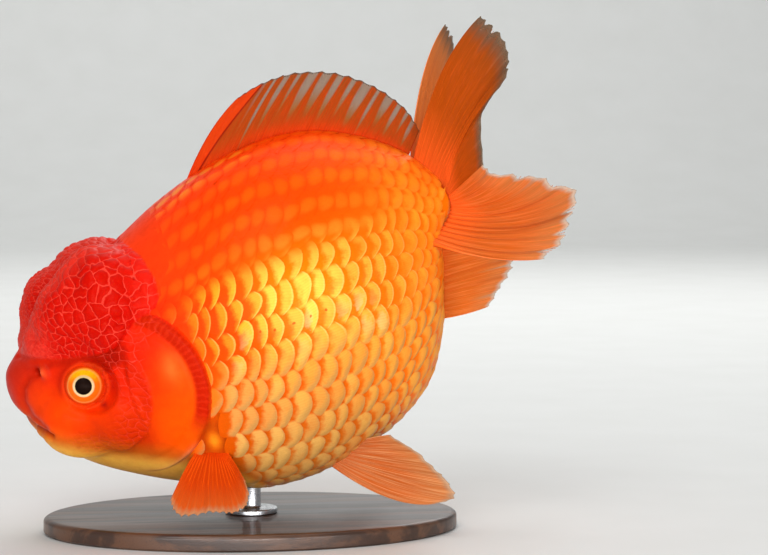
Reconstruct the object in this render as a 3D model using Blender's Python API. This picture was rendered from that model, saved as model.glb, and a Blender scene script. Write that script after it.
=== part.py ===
"""A goldfish of the oranda breed, life size, swimming nose down over a plain display stand.

The fish is drawn in its own frame: +X towards the tail, +Z towards the back, -Y its left side.
An empty then tips it nose down and lifts it over the stand. Lengths are in millimetres until
add_object turns them into metres.
"""

import math

import bmesh
import bpy
from mathutils import Matrix, Vector

MM = 0.001
GAP = 0.3  # clearance between neighbouring solids
NOSE_DOWN = math.radians(20)
SWIM_HEIGHT = 59.5  # the fish frame's origin above the table
BEHIND_CENTRE = 3.0  # the same origin behind the centre of the stand, which is under the balance point

# Ribs of the body, from the snout to the end of the tail stalk:
# back x, back z, belly x, belly z, half width.
RIBS = [
    (-71.4, 2.5, -71.4, 2.5, 0.0),
    (-70.0, 8.4, -69.6, -5.0, 6.5),
    (-65.3, 12.6, -65.0, -13.0, 12.5),
    (-56.5, 20.0, -56.5, -22.3, 17.6),
    (-44.0, 27.5, -44.5, -30.8, 22.5),
    (-30.5, 31.5, -31.5, -38.0, 27.5),
    (-16.5, 37.3, -17.5, -44.6, 31.5),
    (-1.0, 41.6, -3.0, -46.4, 34.0),
    (14.0, 43.2, 11.0, -44.6, 33.5),
    (28.0, 41.3, 23.6, -41.2, 30.0),
    (40.0, 35.6, 35.2, -34.2, 24.5),
    (49.5, 28.2, 42.6, -24.0, 18.5),
    (54.5, 22.0, 47.2, -13.0, 13.2),
    (57.5, 17.5, 49.2, -3.0, 9.4),
    (59.6, 13.5, 54.0, 1.8, 6.0),
    (60.0, 7.5, 60.0, 7.5, 0.0),
]
LAST_RIB = len(RIBS) - 1
HEAD_END = 5  # rib where the head meets the trunk
TRUNK_END = 12  # rib where the trunk meets the tail stalk
RIB_SPLIT = 0.014  # half the cut between two lengths, in ribs
WIDEST_AT = 0.47  # of the way from belly to back
FULLNESS = 0.9  # under 1 squares the cross section a little
SIDES = 32
RINGS_PER_RIB = 2.4

# Fleshy lobes: centre x, distance from the midline, z, then radii.
HOOD_LOBES = [
    (-40.0, 10.0, 17.0, 15.2, 15.0, 17.0),  # crown
    (-47.6, 9.5, 16.8, 14.0, 12.6, 13.4),  # forehead
    (-56.8, 7.5, 12.0, 8.2, 9.6, 7.4),  # brow over the nostril
    (-40.0, 17.0, 9.8, 10.0, 9.6, 9.2),  # temple
]
CHEEK_LOBES = [
    (-52.0, 13.5, -8.4, 14.6, 8.0, 11.4),  # below the eye
    (-60.2, 9.0, -5.6, 8.0, 8.0, 8.2),  # beside the mouth
    (-45.0, 17.0, -8.0, 10.0, 8.4, 13.0),  # behind the eye
]
PARTING = 0.3  # half the groove between the two halves of the hood
LOBE_SEGMENTS, LOBE_RINGS = 16, 9

GILL_COVER_CENTRE = (-41.0, -6.0)
GILL_COVER_RADII = (20.0, 22.0)
GILL_COVER_ARC = (math.radians(-105), math.radians(82))  # 0 points at the tail
GILL_COVER_STEPS = 24
GILL_COVER_PROUD = 1.7
GILL_COVER_INNER = 6.0  # nearest it comes to the midline

EYE_CENTRE = (-51.0, 18.2, -0.2)
EYE_RADIUS = 5.6

# Side outline of the lower jaw's cut: ahead of the mouth, its corner, the throat, ahead of the chin.
JAW_OUTLINE = [(-80.0, 9.0), (-61.5, -9.5), (-56.5, -30.0), (-80.0, -40.0)]

# Key rays of each fin, from the front or top one round: root x, y, z, tip x, y, z, bow.
# Bow lifts the middle of a ray towards the back. The rays between follow smoothly.
DORSAL_RAYS = [
    (-9.5, 0.0, 36.5, 14.0, 0.0, 56.0, 4.3),
    (0.0, 0.0, 39.0, 21.0, 0.0, 57.4, 1.5),
    (12.0, 0.0, 40.5, 30.5, 0.0, 57.0, 0.8),
    (25.0, 0.0, 39.0, 40.8, 0.0, 53.2, 0.6),
    (36.0, 0.0, 34.8, 49.4, 0.0, 46.3, 0.4),
    (45.0, 0.0, 29.0, 55.2, 0.0, 38.0, 0.2),
    (50.5, 0.0, 24.5, 56.9, 0.0, 30.8, 0.0),
]
LEFT_UPPER_TAIL_RAYS = [
    (51.0, -1.6, 21.0, 79.4, -22.0, 54.8, 5.0),
    (53.5, -2.6, 18.5, 82.3, -24.0, 49.5, 2.4),
    (55.5, -3.4, 16.5, 82.2, -25.0, 42.0, 0.8),
    (56.8, -3.8, 14.6, 79.2, -24.0, 36.8, 0.0),
    (57.4, -4.0, 13.0, 72.5, -20.0, 32.6, -0.6),
    (57.8, -4.0, 11.8, 66.8, -16.0, 17.9, 0.0),
]
LEFT_LOWER_TAIL_RAYS = [
    (57.8, -4.0, 11.2, 67.0, -16.0, 16.9, 0.0),
    (57.8, -4.0, 10.0, 70.0, -19.0, 13.8, 0.6),
    (57.4, -4.0, 8.4, 79.2, -27.0, 10.2, 0.8),
    (56.5, -3.8, 6.8, 85.6, -33.0, 4.4, 0.6),
    (55.0, -3.6, 5.2, 82.0, -36.0, -2.0, 0.0),
    (52.8, -3.2, 3.6, 77.4, -36.0, -6.8, -0.8),
    (50.0, -2.6, 2.0, 71.8, -34.0, -9.8, -2.0),
]
RIGHT_UPPER_TAIL_RAYS = [
    (51.0, 1.6, 21.0, 77.5, 24.5, 54.6, 5.0),
    (53.5, 2.6, 18.5, 79.0, 29.0, 51.0, 2.4),
    (55.5, 3.4, 16.5, 77.5, 33.0, 45.0, 0.8),
    (56.8, 3.8, 14.6, 73.0, 33.0, 39.0, 0.0),
    (57.4, 4.0, 13.0, 68.5, 29.0, 32.0, -0.6),
    (57.8, 4.0, 11.8, 65.1, 23.0, 19.1, 0.0),
]
RIGHT_LOWER_TAIL_RAYS = [
    (57.8, 4.0, 11.2, 65.3, 23.0, 18.1, 0.0),
    (57.8, 4.0, 10.0, 67.5, 27.0, 13.5, 0.6),
    (57.4, 4.0, 8.4, 73.5, 34.0, 8.0, 0.8),
    (56.5, 3.8, 6.8, 78.5, 39.0, 1.5, 0.6),
    (55.0, 3.6, 5.2, 77.0, 41.0, -4.5, 0.0),
    (52.8, 3.2, 3.6, 72.5, 40.0, -8.5, -0.8),
    (50.0, 2.6, 2.0, 67.0, 36.0, -10.5, -2.0),
]
LEFT_ANAL_RAYS = [
    (40.0, -3.6, -17.5, 57.6, -8.5, -19.8, -0.8),
    (41.5, -3.6, -14.0, 62.0, -9.5, -16.2, -0.2),
    (43.0, -3.6, -10.6, 66.8, -10.5, -12.0, 0.2),
    (44.0, -3.6, -7.4, 67.4, -10.5, -8.6, 0.4),
    (46.2, -3.6, -2.2, 63.0, -9.5, -4.6, 0.2),
]
LEFT_PECTORAL_RAYS = [
    (-29.0, -19.5, -23.6, -41.2, -29.5, -35.0, 0.8),
    (-28.4, -19.5, -24.2, -40.4, -32.0, -39.0, 0.4),
    (-27.6, -19.5, -24.8, -33.4, -35.0, -40.4, 0.0),
    (-26.6, -19.5, -25.4, -27.6, -36.5, -42.4, 0.0),
    (-25.6, -19.5, -25.8, -22.8, -36.0, -42.0, 0.0),
    (-24.8, -19.5, -26.0, -21.2, -33.0, -36.6, 0.6),
]
RIGHT_PECTORAL_RAYS = [
    (-29.0, 19.5, -23.6, -24.5, 38.5, -20.0, 0.6),
    (-28.4, 19.5, -24.2, -19.0, 41.0, -22.5, 0.4),
    (-27.6, 19.5, -24.8, -15.0, 41.0, -26.5, 0.0),
    (-26.6, 19.5, -25.4, -13.5, 39.5, -31.0, 0.0),
    (-25.6, 19.5, -25.8, -15.0, 36.5, -34.5, 0.0),
    (-24.8, 19.5, -26.0, -18.0, 32.5, -35.0, -0.6),
]
LEFT_PELVIC_RAYS = [
    (1.0, -9.0, -42.2, 24.2, -28.5, -61.0, -4.6),
    (2.8, -9.4, -42.0, 29.0, -31.5, -60.4, -2.0),
    (4.6, -9.8, -41.8, 27.4, -31.0, -53.8, -0.6),
    (6.4, -10.2, -41.4, 23.6, -28.0, -46.4, 0.2),
    (8.0, -10.6, -41.0, 19.0, -23.5, -40.4, 0.4),
]
RIGHT_PELVIC_RAYS = [
    (1.0, 9.0, -42.2, 20.0, 27.0, -47.5, -1.5),
    (2.8, 9.4, -42.0, 25.5, 31.0, -44.5, -0.8),
    (4.6, 9.8, -41.8, 27.0, 33.5, -40.0, 0.0),
    (6.4, 10.2, -41.4, 25.0, 33.5, -36.0, 0.4),
    (8.0, 10.6, -41.0, 21.0, 32.0, -34.0, 0.6),
]
FIN_ROOT_THICK = 1.5
FIN_EDGE_THICK = 0.6
FIN_STEPS = 5  # from root to tip
STEPS_PER_KEY_RAY = 2

BASE_LENGTH, BASE_WIDTH, BASE_THICK = 112.0, 74.0, 4.5
BASE_BEVEL = 1.2
BASE_SEGMENTS = 48
ROD_RADIUS = 2.5
ROD_REACH = 22.0  # the rod is made this tall, then cut to the belly
FOOT_RADIUS, FOOT_THICK = 7.0, 1.2
ROD_SEGMENTS = 24

ORANGE = (0.90, 0.20, 0.01, 1)
RED = (0.70, 0.02, 0.01, 1)
SCALE_GOLD = (0.93, 0.38, 0.05, 1)
FIN_ORANGE = (0.85, 0.22, 0.05, 1)
EYE_BLACK = (0.02, 0.01, 0.01, 1)
WALNUT = (0.10, 0.05, 0.03, 1)
STEEL = (0.60, 0.60, 0.62, 1)


def clear_scene():
    for obj in list(bpy.data.objects):
        bpy.data.objects.remove(obj)


def make_material(name, colour, roughness, metallic=0.0):
    made = bpy.data.materials.new(name)
    made.use_nodes = True
    shader = made.node_tree.nodes["Principled BSDF"]
    shader.inputs["Base Color"].default_value = colour
    shader.inputs["Roughness"].default_value = roughness
    shader.inputs["Metallic"].default_value = metallic
    return made


def add_object(name, bm, parent=None, finish=None):
    """The bmesh as an object in metres, or as a cutter when it has no finish."""
    bmesh.ops.scale(bm, vec=(MM, MM, MM), verts=bm.verts)
    bmesh.ops.recalc_face_normals(bm, faces=bm.faces)
    mesh = bpy.data.meshes.new(name)
    bm.to_mesh(mesh)
    bm.free()
    mesh.shade_smooth()
    mesh.set_sharp_from_angle(angle=math.radians(50))
    obj = bpy.data.objects.new(name, mesh)
    bpy.context.scene.collection.objects.link(obj)
    obj.parent = parent
    if finish:
        mesh.materials.append(finish)
    else:
        obj.hide_render = True
        obj.display_type = "WIRE"
    return obj


def boolean(obj, operation, *others):
    for other in others:
        step = obj.modifiers.new(operation.lower() + "_" + other.name, "BOOLEAN")
        step.operation = operation
        step.object = other
    return obj


def spline(rows, place):
    """The numbers at a place between two rows of a table, on a Catmull-Rom curve."""
    last = len(rows) - 1
    i = min(int(place), last - 1)
    f = place - i
    r0, r1, r2, r3 = (rows[max(0, min(last, i + step))] for step in (-1, 0, 1, 2))
    return [
        b + 0.5 * f * ((c - a) + f * ((2 * a - 5 * b + 4 * c - d) + f * (3 * (b - c) + d - a)))
        for a, b, c, d in zip(r0, r1, r2, r3)
    ]


def rib_points(place):
    """Points round the body at one rib, from the back, down the left side and up the right."""
    back_x, back_z, belly_x, belly_z, half_width = spline(RIBS, place)
    back, belly = Vector((back_x, 0, back_z)), Vector((belly_x, 0, belly_z))
    if half_width <= 0:
        return [back]
    widest = belly.lerp(back, WIDEST_AT)
    points = []
    for side in range(SIDES):
        turn = 2 * math.pi * side / SIDES
        up, out = math.cos(turn), -math.sin(turn)
        point = widest.lerp(back if up > 0 else belly, abs(up) ** FULLNESS)
        point.y = math.copysign(abs(out) ** FULLNESS, out) * half_width
        points.append(point)
    return points


def grow(bm, distance):
    bmesh.ops.recalc_face_normals(bm, faces=bm.faces)
    bm.normal_update()
    for vert in bm.verts:
        vert.co += vert.normal * distance
    return bm


def body_length(first, last):
    """A closed length of the body between two ribs."""
    bm = bmesh.new()
    rings = round((last - first) * RINGS_PER_RIB)
    loops = [
        [bm.verts.new(point) for point in rib_points(first + (last - first) * ring / rings)]
        for ring in range(rings + 1)
    ]
    for a, b in zip(loops, loops[1:]):
        for i in range(SIDES):
            j = i + 1
            corners = [a[i % len(a)], a[j % len(a)], b[j % len(b)], b[i % len(b)]]
            bm.faces.new(dict.fromkeys(corners))
    for loop in (loops[0], loops[-1]):
        if len(loop) > 1:
            bm.faces.new(loop)
    return bm


def lobe(size, side, grown=0.0):
    """An ellipsoid beside the midline; side is -1 for the left and 1 for the right."""
    x, out, z, rx, ry, rz = size
    bm = bmesh.new()
    bmesh.ops.create_uvsphere(bm, u_segments=LOBE_SEGMENTS, v_segments=LOBE_RINGS, radius=1)
    radii = Matrix.Diagonal((rx + grown, ry + grown, rz + grown, 1))
    bm.transform(Matrix.Translation((x, out * side, z)) @ radii)
    return bm


def prism(outline, y_from, y_to, shift=(0.0, 0.0)):
    """A side outline drawn in x and z, carried across from one y to another."""
    bm = bmesh.new()
    near, far = (
        [bm.verts.new((x + shift[0], y, z + shift[1])) for x, z in outline]
        for y in (y_from, y_to)
    )
    bm.faces.new(near)
    bm.faces.new(far)
    for i in range(len(outline)):
        j = (i + 1) % len(outline)
        bm.faces.new((near[i], near[j], far[j], far[i]))
    return bm


def gill_cover_outline():
    start, end = GILL_COVER_ARC
    angles = (start + (end - start) * i / GILL_COVER_STEPS for i in range(GILL_COVER_STEPS + 1))
    (x, z), (rx, rz) = GILL_COVER_CENTRE, GILL_COVER_RADII
    return [(x + rx * math.cos(a), z + rz * math.sin(a)) for a in angles]


def edge_pairs(sheet):
    """Pairs of neighbours round the edge of a grid of vertices."""
    loop = [row[0] for row in sheet]
    loop += sheet[-1][1:]
    loop += [row[-1] for row in reversed(sheet[:-1])]
    loop += reversed(sheet[0][1:-1])
    return zip(loop, loop[1:] + loop[:1])


def fin_slab(rays):
    """A closed sheet through the key rays, thick at the root and thin at the edge."""
    count = (len(rays) - 1) * STEPS_PER_KEY_RAY + 1
    grid = []
    for number in range(count):
        x0, y0, z0, x1, y1, z1, bow = spline(rays, number / STEPS_PER_KEY_RAY)
        line = []
        for step in range(FIN_STEPS + 1):
            along = step / FIN_STEPS
            point = Vector((x0, y0, z0)).lerp(Vector((x1, y1, z1)), along)
            point.z += 4 * along * (1 - along) * bow
            line.append(point)
        grid.append(line)

    bm = bmesh.new()
    left, right = [], []
    for number, line in enumerate(grid):
        before, after = grid[max(0, number - 1)], grid[min(count - 1, number + 1)]
        left.append([])
        right.append([])
        for step, point in enumerate(line):
            across = after[step] - before[step]
            outward = line[min(FIN_STEPS, step + 1)] - line[max(0, step - 1)]
            thick = FIN_ROOT_THICK + (FIN_EDGE_THICK - FIN_ROOT_THICK) * step / FIN_STEPS
            offset = across.cross(outward).normalized() * thick / 2
            left[-1].append(bm.verts.new(point + offset))
            right[-1].append(bm.verts.new(point - offset))

    for sheet in (left, right):
        for a, b in zip(sheet, sheet[1:]):
            for step in range(FIN_STEPS):
                bm.faces.new((a[step], a[step + 1], b[step + 1], b[step]))
    for (a, b), (c, d) in zip(edge_pairs(left), edge_pairs(right)):
        bm.faces.new((a, b, d, c))
    return bm


def turned(profile, segments, stretch=1.0):
    """A solid turned about Z from (radius, z) pairs, stretched along X."""
    bm = bmesh.new()
    loops = []
    for radius, z in profile:
        angles = (2 * math.pi * i / segments for i in range(segments))
        loops.append([
            bm.verts.new((radius * stretch * math.cos(a), radius * math.sin(a), z)) for a in angles
        ])
    for a, b in zip(loops, loops[1:]):
        for i in range(segments):
            j = (i + 1) % segments
            bm.faces.new((a[i], a[j], b[j], b[i]))
    bm.faces.new(loops[0])
    bm.faces.new(loops[-1])
    return bm


def mirrored(rays):
    return [(x0, -y0, z0, x1, -y1, z1, bow) for x0, y0, z0, x1, y1, z1, bow in rays]


def build_head_side(word, side, pose, head, body_clearance, gill_shell, finishes):
    """The eye, half hood, cheek and gill cover of one side; returns a cutter that clears the cover."""

    def cutter(name, bm):
        return add_object(f"cut_{name}_{word}", bm, pose)

    def lobe_cutters(name, sizes, grown=0.0):
        return [cutter(f"{name}_{i}", lobe(size, side, grown)) for i, size in enumerate(sizes)]

    globe = (*EYE_CENTRE, EYE_RADIUS, EYE_RADIUS, EYE_RADIUS)
    add_object("eye_" + word, lobe(globe, side), pose, finishes["eye"])
    socket = cutter("socket", lobe(globe, side, GAP))
    boolean(head, "DIFFERENCE", socket)

    past_midline = [(-90, -60), (0, -60), (0, 60), (-90, 60)]
    other_side = cutter("parting", prism(past_midline, side * PARTING, -side * 60))
    hood = add_object("hood_" + word, lobe(HOOD_LOBES[0], side), pose, finishes["red"])
    boolean(hood, "UNION", *lobe_cutters("hood", HOOD_LOBES[1:]))
    boolean(hood, "DIFFERENCE", other_side, body_clearance, socket)
    hood_clearance = lobe_cutters("hood_clearance", HOOD_LOBES, GAP)

    cheek = add_object("cheek_" + word, lobe(CHEEK_LOBES[0], side), pose, finishes["orange"])
    boolean(cheek, "UNION", *lobe_cutters("cheek", CHEEK_LOBES[1:]))
    boolean(cheek, "DIFFERENCE", body_clearance, socket, *hood_clearance)
    cheek_clearance = lobe_cutters("cheek_clearance", CHEEK_LOBES, GAP)

    plate = prism(gill_cover_outline(), side * GILL_COVER_INNER, side * 60)
    gill_cover = add_object("gill_cover_" + word, plate, pose, finishes["orange"])
    boolean(gill_cover, "INTERSECT", gill_shell)
    boolean(gill_cover, "DIFFERENCE", body_clearance, *hood_clearance, *cheek_clearance)

    plate_clearance = prism(gill_cover_outline(), side * GILL_COVER_INNER, side * 60)
    return cutter("gill_clearance", grow(plate_clearance, 2 * GAP))


def build_fish(pose):
    finishes = {
        "orange": make_material("orange_skin", ORANGE, 0.35),
        "red": make_material("red_hood", RED, 0.45),
        "gold": make_material("gold_scales", SCALE_GOLD, 0.35),
        "fin": make_material("fin_membrane", FIN_ORANGE, 0.4),
        "eye": make_material("eye_black", EYE_BLACK, 0.05),
    }
    head_last, trunk_first = HEAD_END - RIB_SPLIT, HEAD_END + RIB_SPLIT
    trunk_last, stalk_first = TRUNK_END - RIB_SPLIT, TRUNK_END + RIB_SPLIT
    body_clearance = add_object("cut_body", grow(body_length(0, LAST_RIB), GAP), pose)
    gill_shell = add_object("cut_gill_shell", grow(body_length(0, TRUNK_END), GILL_COVER_PROUD), pose)
    jaw_cut = add_object("cut_jaw", prism(JAW_OUTLINE, -40, 40), pose)
    mouth_cut = add_object("cut_mouth", prism(JAW_OUTLINE, -40, 40, (GAP, GAP)), pose)

    head = add_object("head", body_length(0, head_last), pose, finishes["orange"])
    jaw = add_object("lower_jaw", body_length(0, head_last), pose, finishes["orange"])
    add_object("trunk", body_length(trunk_first, trunk_last), pose, finishes["gold"])
    add_object("tail_base", body_length(stalk_first, LAST_RIB), pose, finishes["gold"])
    boolean(jaw, "INTERSECT", jaw_cut)
    boolean(head, "DIFFERENCE", mouth_cut)
    head_parts = (pose, head, body_clearance, gill_shell, finishes)
    gill_clearance = {
        word: build_head_side(word, side, *head_parts) for word, side in (("left", -1), ("right", 1))
    }
    shell_clearance = grow(body_length(0, TRUNK_END), GILL_COVER_PROUD + GAP)
    shell_clearance = add_object("cut_shell_clearance", shell_clearance, pose)

    fins = {
        "dorsal_fin": DORSAL_RAYS,
        "tail_upper_left": LEFT_UPPER_TAIL_RAYS,
        "tail_lower_left": LEFT_LOWER_TAIL_RAYS,
        "tail_upper_right": RIGHT_UPPER_TAIL_RAYS,
        "tail_lower_right": RIGHT_LOWER_TAIL_RAYS,
        "anal_fin_left": LEFT_ANAL_RAYS,
        "anal_fin_right": mirrored(LEFT_ANAL_RAYS),
        "pectoral_fin_left": LEFT_PECTORAL_RAYS,
        "pectoral_fin_right": RIGHT_PECTORAL_RAYS,
        "pelvic_fin_left": LEFT_PELVIC_RAYS,
        "pelvic_fin_right": RIGHT_PELVIC_RAYS,
    }
    for name, rays in fins.items():
        fin = add_object(name, fin_slab(rays), pose, finishes["fin"])
        boolean(fin, "DIFFERENCE", body_clearance)
        if name.startswith("pectoral"):
            past_cover = boolean(gill_clearance[name.split("_")[-1]], "INTERSECT", shell_clearance)
            boolean(fin, "DIFFERENCE", past_cover)
    return body_clearance


def build_stand(body_clearance):
    walnut = make_material("stand_wood", WALNUT, 0.45)
    steel = make_material("stand_steel", STEEL, 0.3, 1.0)
    half = BASE_WIDTH / 2
    base_profile = [(half, 0), (half, BASE_THICK - BASE_BEVEL), (half - BASE_BEVEL, BASE_THICK)]
    base = turned(base_profile, BASE_SEGMENTS, BASE_LENGTH / BASE_WIDTH)
    add_object("stand_base", base, None, walnut)
    foot = BASE_THICK + GAP
    rod_profile = [
        (FOOT_RADIUS, foot),
        (FOOT_RADIUS, foot + FOOT_THICK),
        (ROD_RADIUS, foot + FOOT_THICK),
        (ROD_RADIUS, foot + ROD_REACH),
    ]
    rod = add_object("stand_rod", turned(rod_profile, ROD_SEGMENTS), None, steel)
    boolean(rod, "DIFFERENCE", body_clearance)


def main():
    clear_scene()
    pose = bpy.data.objects.new("swimming_pose", None)
    bpy.context.scene.collection.objects.link(pose)
    pose.location = (BEHIND_CENTRE * MM, 0, SWIM_HEIGHT * MM)
    pose.rotation_euler = (0, -NOSE_DOWN, 0)
    build_stand(build_fish(pose))


main()
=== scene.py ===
import math

import bmesh
import bpy
import numpy as np
from mathutils import Matrix, Vector, noise
from mathutils.bvhtree import BVHTree


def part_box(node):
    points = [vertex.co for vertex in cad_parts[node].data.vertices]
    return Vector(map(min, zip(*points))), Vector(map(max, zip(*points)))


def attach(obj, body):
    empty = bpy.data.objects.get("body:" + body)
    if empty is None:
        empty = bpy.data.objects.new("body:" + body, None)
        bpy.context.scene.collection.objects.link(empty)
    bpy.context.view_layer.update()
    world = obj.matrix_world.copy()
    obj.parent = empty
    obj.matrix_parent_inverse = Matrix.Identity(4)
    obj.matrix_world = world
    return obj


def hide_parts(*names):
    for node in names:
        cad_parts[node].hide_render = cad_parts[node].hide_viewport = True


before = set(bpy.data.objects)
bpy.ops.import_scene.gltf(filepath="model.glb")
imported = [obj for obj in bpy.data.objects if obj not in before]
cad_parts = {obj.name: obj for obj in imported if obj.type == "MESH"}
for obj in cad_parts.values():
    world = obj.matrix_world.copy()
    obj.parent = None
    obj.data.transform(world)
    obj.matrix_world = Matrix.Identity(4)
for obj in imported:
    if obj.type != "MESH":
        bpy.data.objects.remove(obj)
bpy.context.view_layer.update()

# The fish is made in its own frame, in millimetres: +X to the tail, +Z to the back, -Y its left.
# At the end every piece is tipped nose down and lifted over the stand.
pose = {"noseDown": 20.0, "eyeX": -51.0, "eyeZ": -0.2}


def boxCentre(node):
    low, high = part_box(node)
    return (low + high) / 2


poseTurn = Matrix.Rotation(math.radians(-pose["noseDown"]), 4, "Y") @ Matrix.Scale(0.001, 4)
betweenEyes = (boxCentre("eye_left") + boxCentre("eye_right")) / 2
fishOrigin = betweenEyes - poseTurn @ Vector((pose["eyeX"], 0, pose["eyeZ"]))
fishToWorld = Matrix.Translation(fishOrigin) @ poseTurn
worldToFish = fishToWorld.inverted()


def tone(*levels):
    # a paint colour given as 0-255 levels, in Blender's linear light
    return tuple(((v / 255 + 0.055) / 1.055) ** 2.4 if v > 10 else v / 255 / 12.92 for v in levels)


def smoothStep(low, high, value):
    t = np.clip((value - low) / (high - low), 0, 1)
    return t * t * (3 - 2 * t)


def hump(centre, width, value):
    return np.exp(-(((value - centre) / width) ** 2))


# ---- shapes of the body, as the solids have them


# back x, back z, belly x, belly z, half width
bodyRibs = [
    (-71.4, 2.5, -71.4, 2.5, 0.0),
    (-70.0, 8.4, -69.6, -5.0, 6.5),
    (-65.3, 12.6, -65.0, -13.0, 12.5),
    (-56.5, 20.0, -56.5, -22.3, 17.6),
    (-44.0, 27.5, -44.5, -30.8, 22.5),
    (-30.5, 31.5, -31.5, -38.0, 27.5),
    (-16.5, 37.3, -17.5, -44.6, 31.5),
    (-1.0, 41.6, -3.0, -46.4, 34.0),
    (14.0, 43.2, 11.0, -44.6, 33.5),
    (28.0, 41.3, 23.6, -41.2, 30.0),
    (40.0, 35.6, 35.2, -34.2, 24.5),
    (49.5, 28.2, 42.6, -24.0, 18.5),
    (54.5, 22.0, 47.2, -13.0, 13.2),
    (57.5, 17.5, 49.2, -3.0, 9.4),
    (59.6, 13.5, 54.0, 1.8, 6.0),
    (60.0, 7.5, 60.0, 7.5, 0.0),
]
# centre x, distance from the midline, z, then radii
hoodLobes = [
    (-40.0, 10.0, 17.0, 15.2, 15.0, 17.0),
    (-47.6, 9.5, 16.8, 14.0, 12.6, 13.4),
    (-56.8, 7.5, 12.0, 8.2, 9.6, 7.4),
    (-40.0, 17.0, 9.8, 10.0, 9.6, 9.2),
]
cheekLobes = [
    (-52.0, 13.5, -8.4, 14.6, 8.0, 11.4),
    (-60.2, 9.0, -5.6, 8.0, 8.0, 8.2),
    (-45.0, 17.0, -8.0, 10.0, 8.4, 13.0),
]
finRoots = [(-25.2, 20.8, -24.4, 2.7, 3.6, 4.6)]  # of the pectoral fins
# each half of the hood as it really stands: the left one slimmer and farther back, the right one lower
hoodHalves = {
    -1: [(-39.3, 10.0, 16.8, 14.4, 15.0, 16.2), (-46.4, 9.5, 16.3, 13.0, 12.6, 12.4),
         (-56.4, 7.5, 11.6, 7.6, 9.6, 7.0), (-39.3, 17.0, 9.2, 9.2, 9.6, 8.4)],
    1: [(-40.0, 10.0, 16.6, 15.2, 15.0, 17.0), (-47.8, 9.5, 17.2, 14.4, 12.6, 13.8),
        (-56.8, 7.5, 12.0, 8.2, 9.6, 7.4), (-40.0, 17.0, 9.8, 10.0, 9.6, 9.2)],
}


def alongRows(rows, place):
    # the numbers at a place between two rows of a table, on a Catmull-Rom curve
    last = len(rows) - 1
    i = min(int(place), last - 1)
    f = place - i
    a, b, c, d = (np.array(rows[max(0, min(last, i + step))]) for step in (-1, 0, 1, 2))
    return b + 0.5 * f * ((c - a) + f * ((2 * a - 5 * b + 4 * c - d) + f * (3 * (b - c) + d - a)))


loft = {"sides": 96, "rings": 120, "widestAt": 0.47, "fullness": 0.9}


def bodyLoft(bm):
    # the body from snout to tail stalk, closed at both ends
    turn = np.linspace(0, 2 * math.pi, loft["sides"], endpoint=False)
    up, out = np.cos(turn), -np.sin(turn)
    loops = []
    for ring in range(loft["rings"] + 1):
        backX, backZ, bellyX, bellyZ, half = alongRows(bodyRibs, ring / loft["rings"] * (len(bodyRibs) - 1))
        if half <= 0.02:
            loops.append([bm.verts.new((backX, 0, backZ))])
            continue
        back, belly = np.array((backX, 0, backZ)), np.array((bellyX, 0, bellyZ))
        widest = belly + (back - belly) * loft["widestAt"]
        ends = np.where(up[:, None] > 0, back, belly)
        points = widest + (ends - widest) * (np.abs(up) ** loft["fullness"])[:, None]
        points[:, 1] = np.sign(out) * np.abs(out) ** loft["fullness"] * half
        loops.append([bm.verts.new(point) for point in points])
    for a, b in zip(loops, loops[1:]):
        for i in range(loft["sides"]):
            corners = [a[i % len(a)], a[(i + 1) % len(a)], b[(i + 1) % len(b)], b[i % len(b)]]
            corners = list(dict.fromkeys(corners))
            if len(corners) > 2:
                bm.faces.new(corners)


def addLobe(bm, size, side):
    x, out, z, rx, ry, rz = size
    ball = bmesh.ops.create_icosphere(bm, subdivisions=5, radius=1)["verts"]
    bmesh.ops.transform(bm, verts=ball, matrix=Matrix.Translation((x, out * side, z)) @
                        Matrix.Diagonal((rx, ry, rz, 1)))


def meshObject(name, bm=None, mesh=None):
    if bm is not None:
        bmesh.ops.recalc_face_normals(bm, faces=bm.faces)
        mesh = bpy.data.meshes.new(name)
        bm.to_mesh(mesh)
        bm.free()
    made = bpy.data.objects.new(name, mesh)
    bpy.context.scene.collection.objects.link(made)
    return made


def settled(obj, name):
    # the evaluated object as a plain mesh of its own, and the first object removed
    graph = bpy.context.evaluated_depsgraph_get()
    mesh = bpy.data.meshes.new_from_object(obj.evaluated_get(graph), preserve_all_data_layers=True,
                                           depsgraph=graph)
    mesh.name = name
    bpy.data.objects.remove(obj)
    return meshObject(name, mesh=mesh)


def places(mesh):
    co = np.zeros(len(mesh.vertices) * 3, np.float32)
    mesh.vertices.foreach_get("co", co)
    return co.reshape(-1, 3).astype(float)


def normalsOf(mesh):
    found = np.zeros(len(mesh.vertices) * 3, np.float32)
    mesh.vertex_normals.foreach_get("vector", found)
    return found.reshape(-1, 3).astype(float)


def setPlaces(mesh, co):
    mesh.vertices.foreach_set("co", np.ascontiguousarray(co, np.float32).ravel())
    mesh.update()


def storeFloat(mesh, name, values):
    layer = mesh.attributes.get(name) or mesh.attributes.new(name, "FLOAT", "POINT")
    layer.data.foreach_set("value", np.ascontiguousarray(values, np.float32))


def storeVector(mesh, name, values):
    layer = mesh.attributes.get(name) or mesh.attributes.new(name, "FLOAT_VECTOR", "POINT")
    layer.data.foreach_set("vector", np.ascontiguousarray(values, np.float32).ravel())


def storeColour(mesh, name, values):
    layer = mesh.color_attributes.get(name) or mesh.color_attributes.new(name, "FLOAT_COLOR", "POINT")
    rgba = np.concatenate([values, np.ones((len(values), 1))], 1)
    layer.data.foreach_set("color", np.ascontiguousarray(rgba, np.float32).ravel())


def finishPiece(obj, nodes=(), smooth=True, inFishFrame=True):
    if inFishFrame:
        obj.data.transform(fishToWorld)
    if smooth:
        obj.data.shade_smooth()
    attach(obj, "root")
    if nodes:
        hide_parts(*nodes)
    return obj


# ---- helpers for node trees


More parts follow.
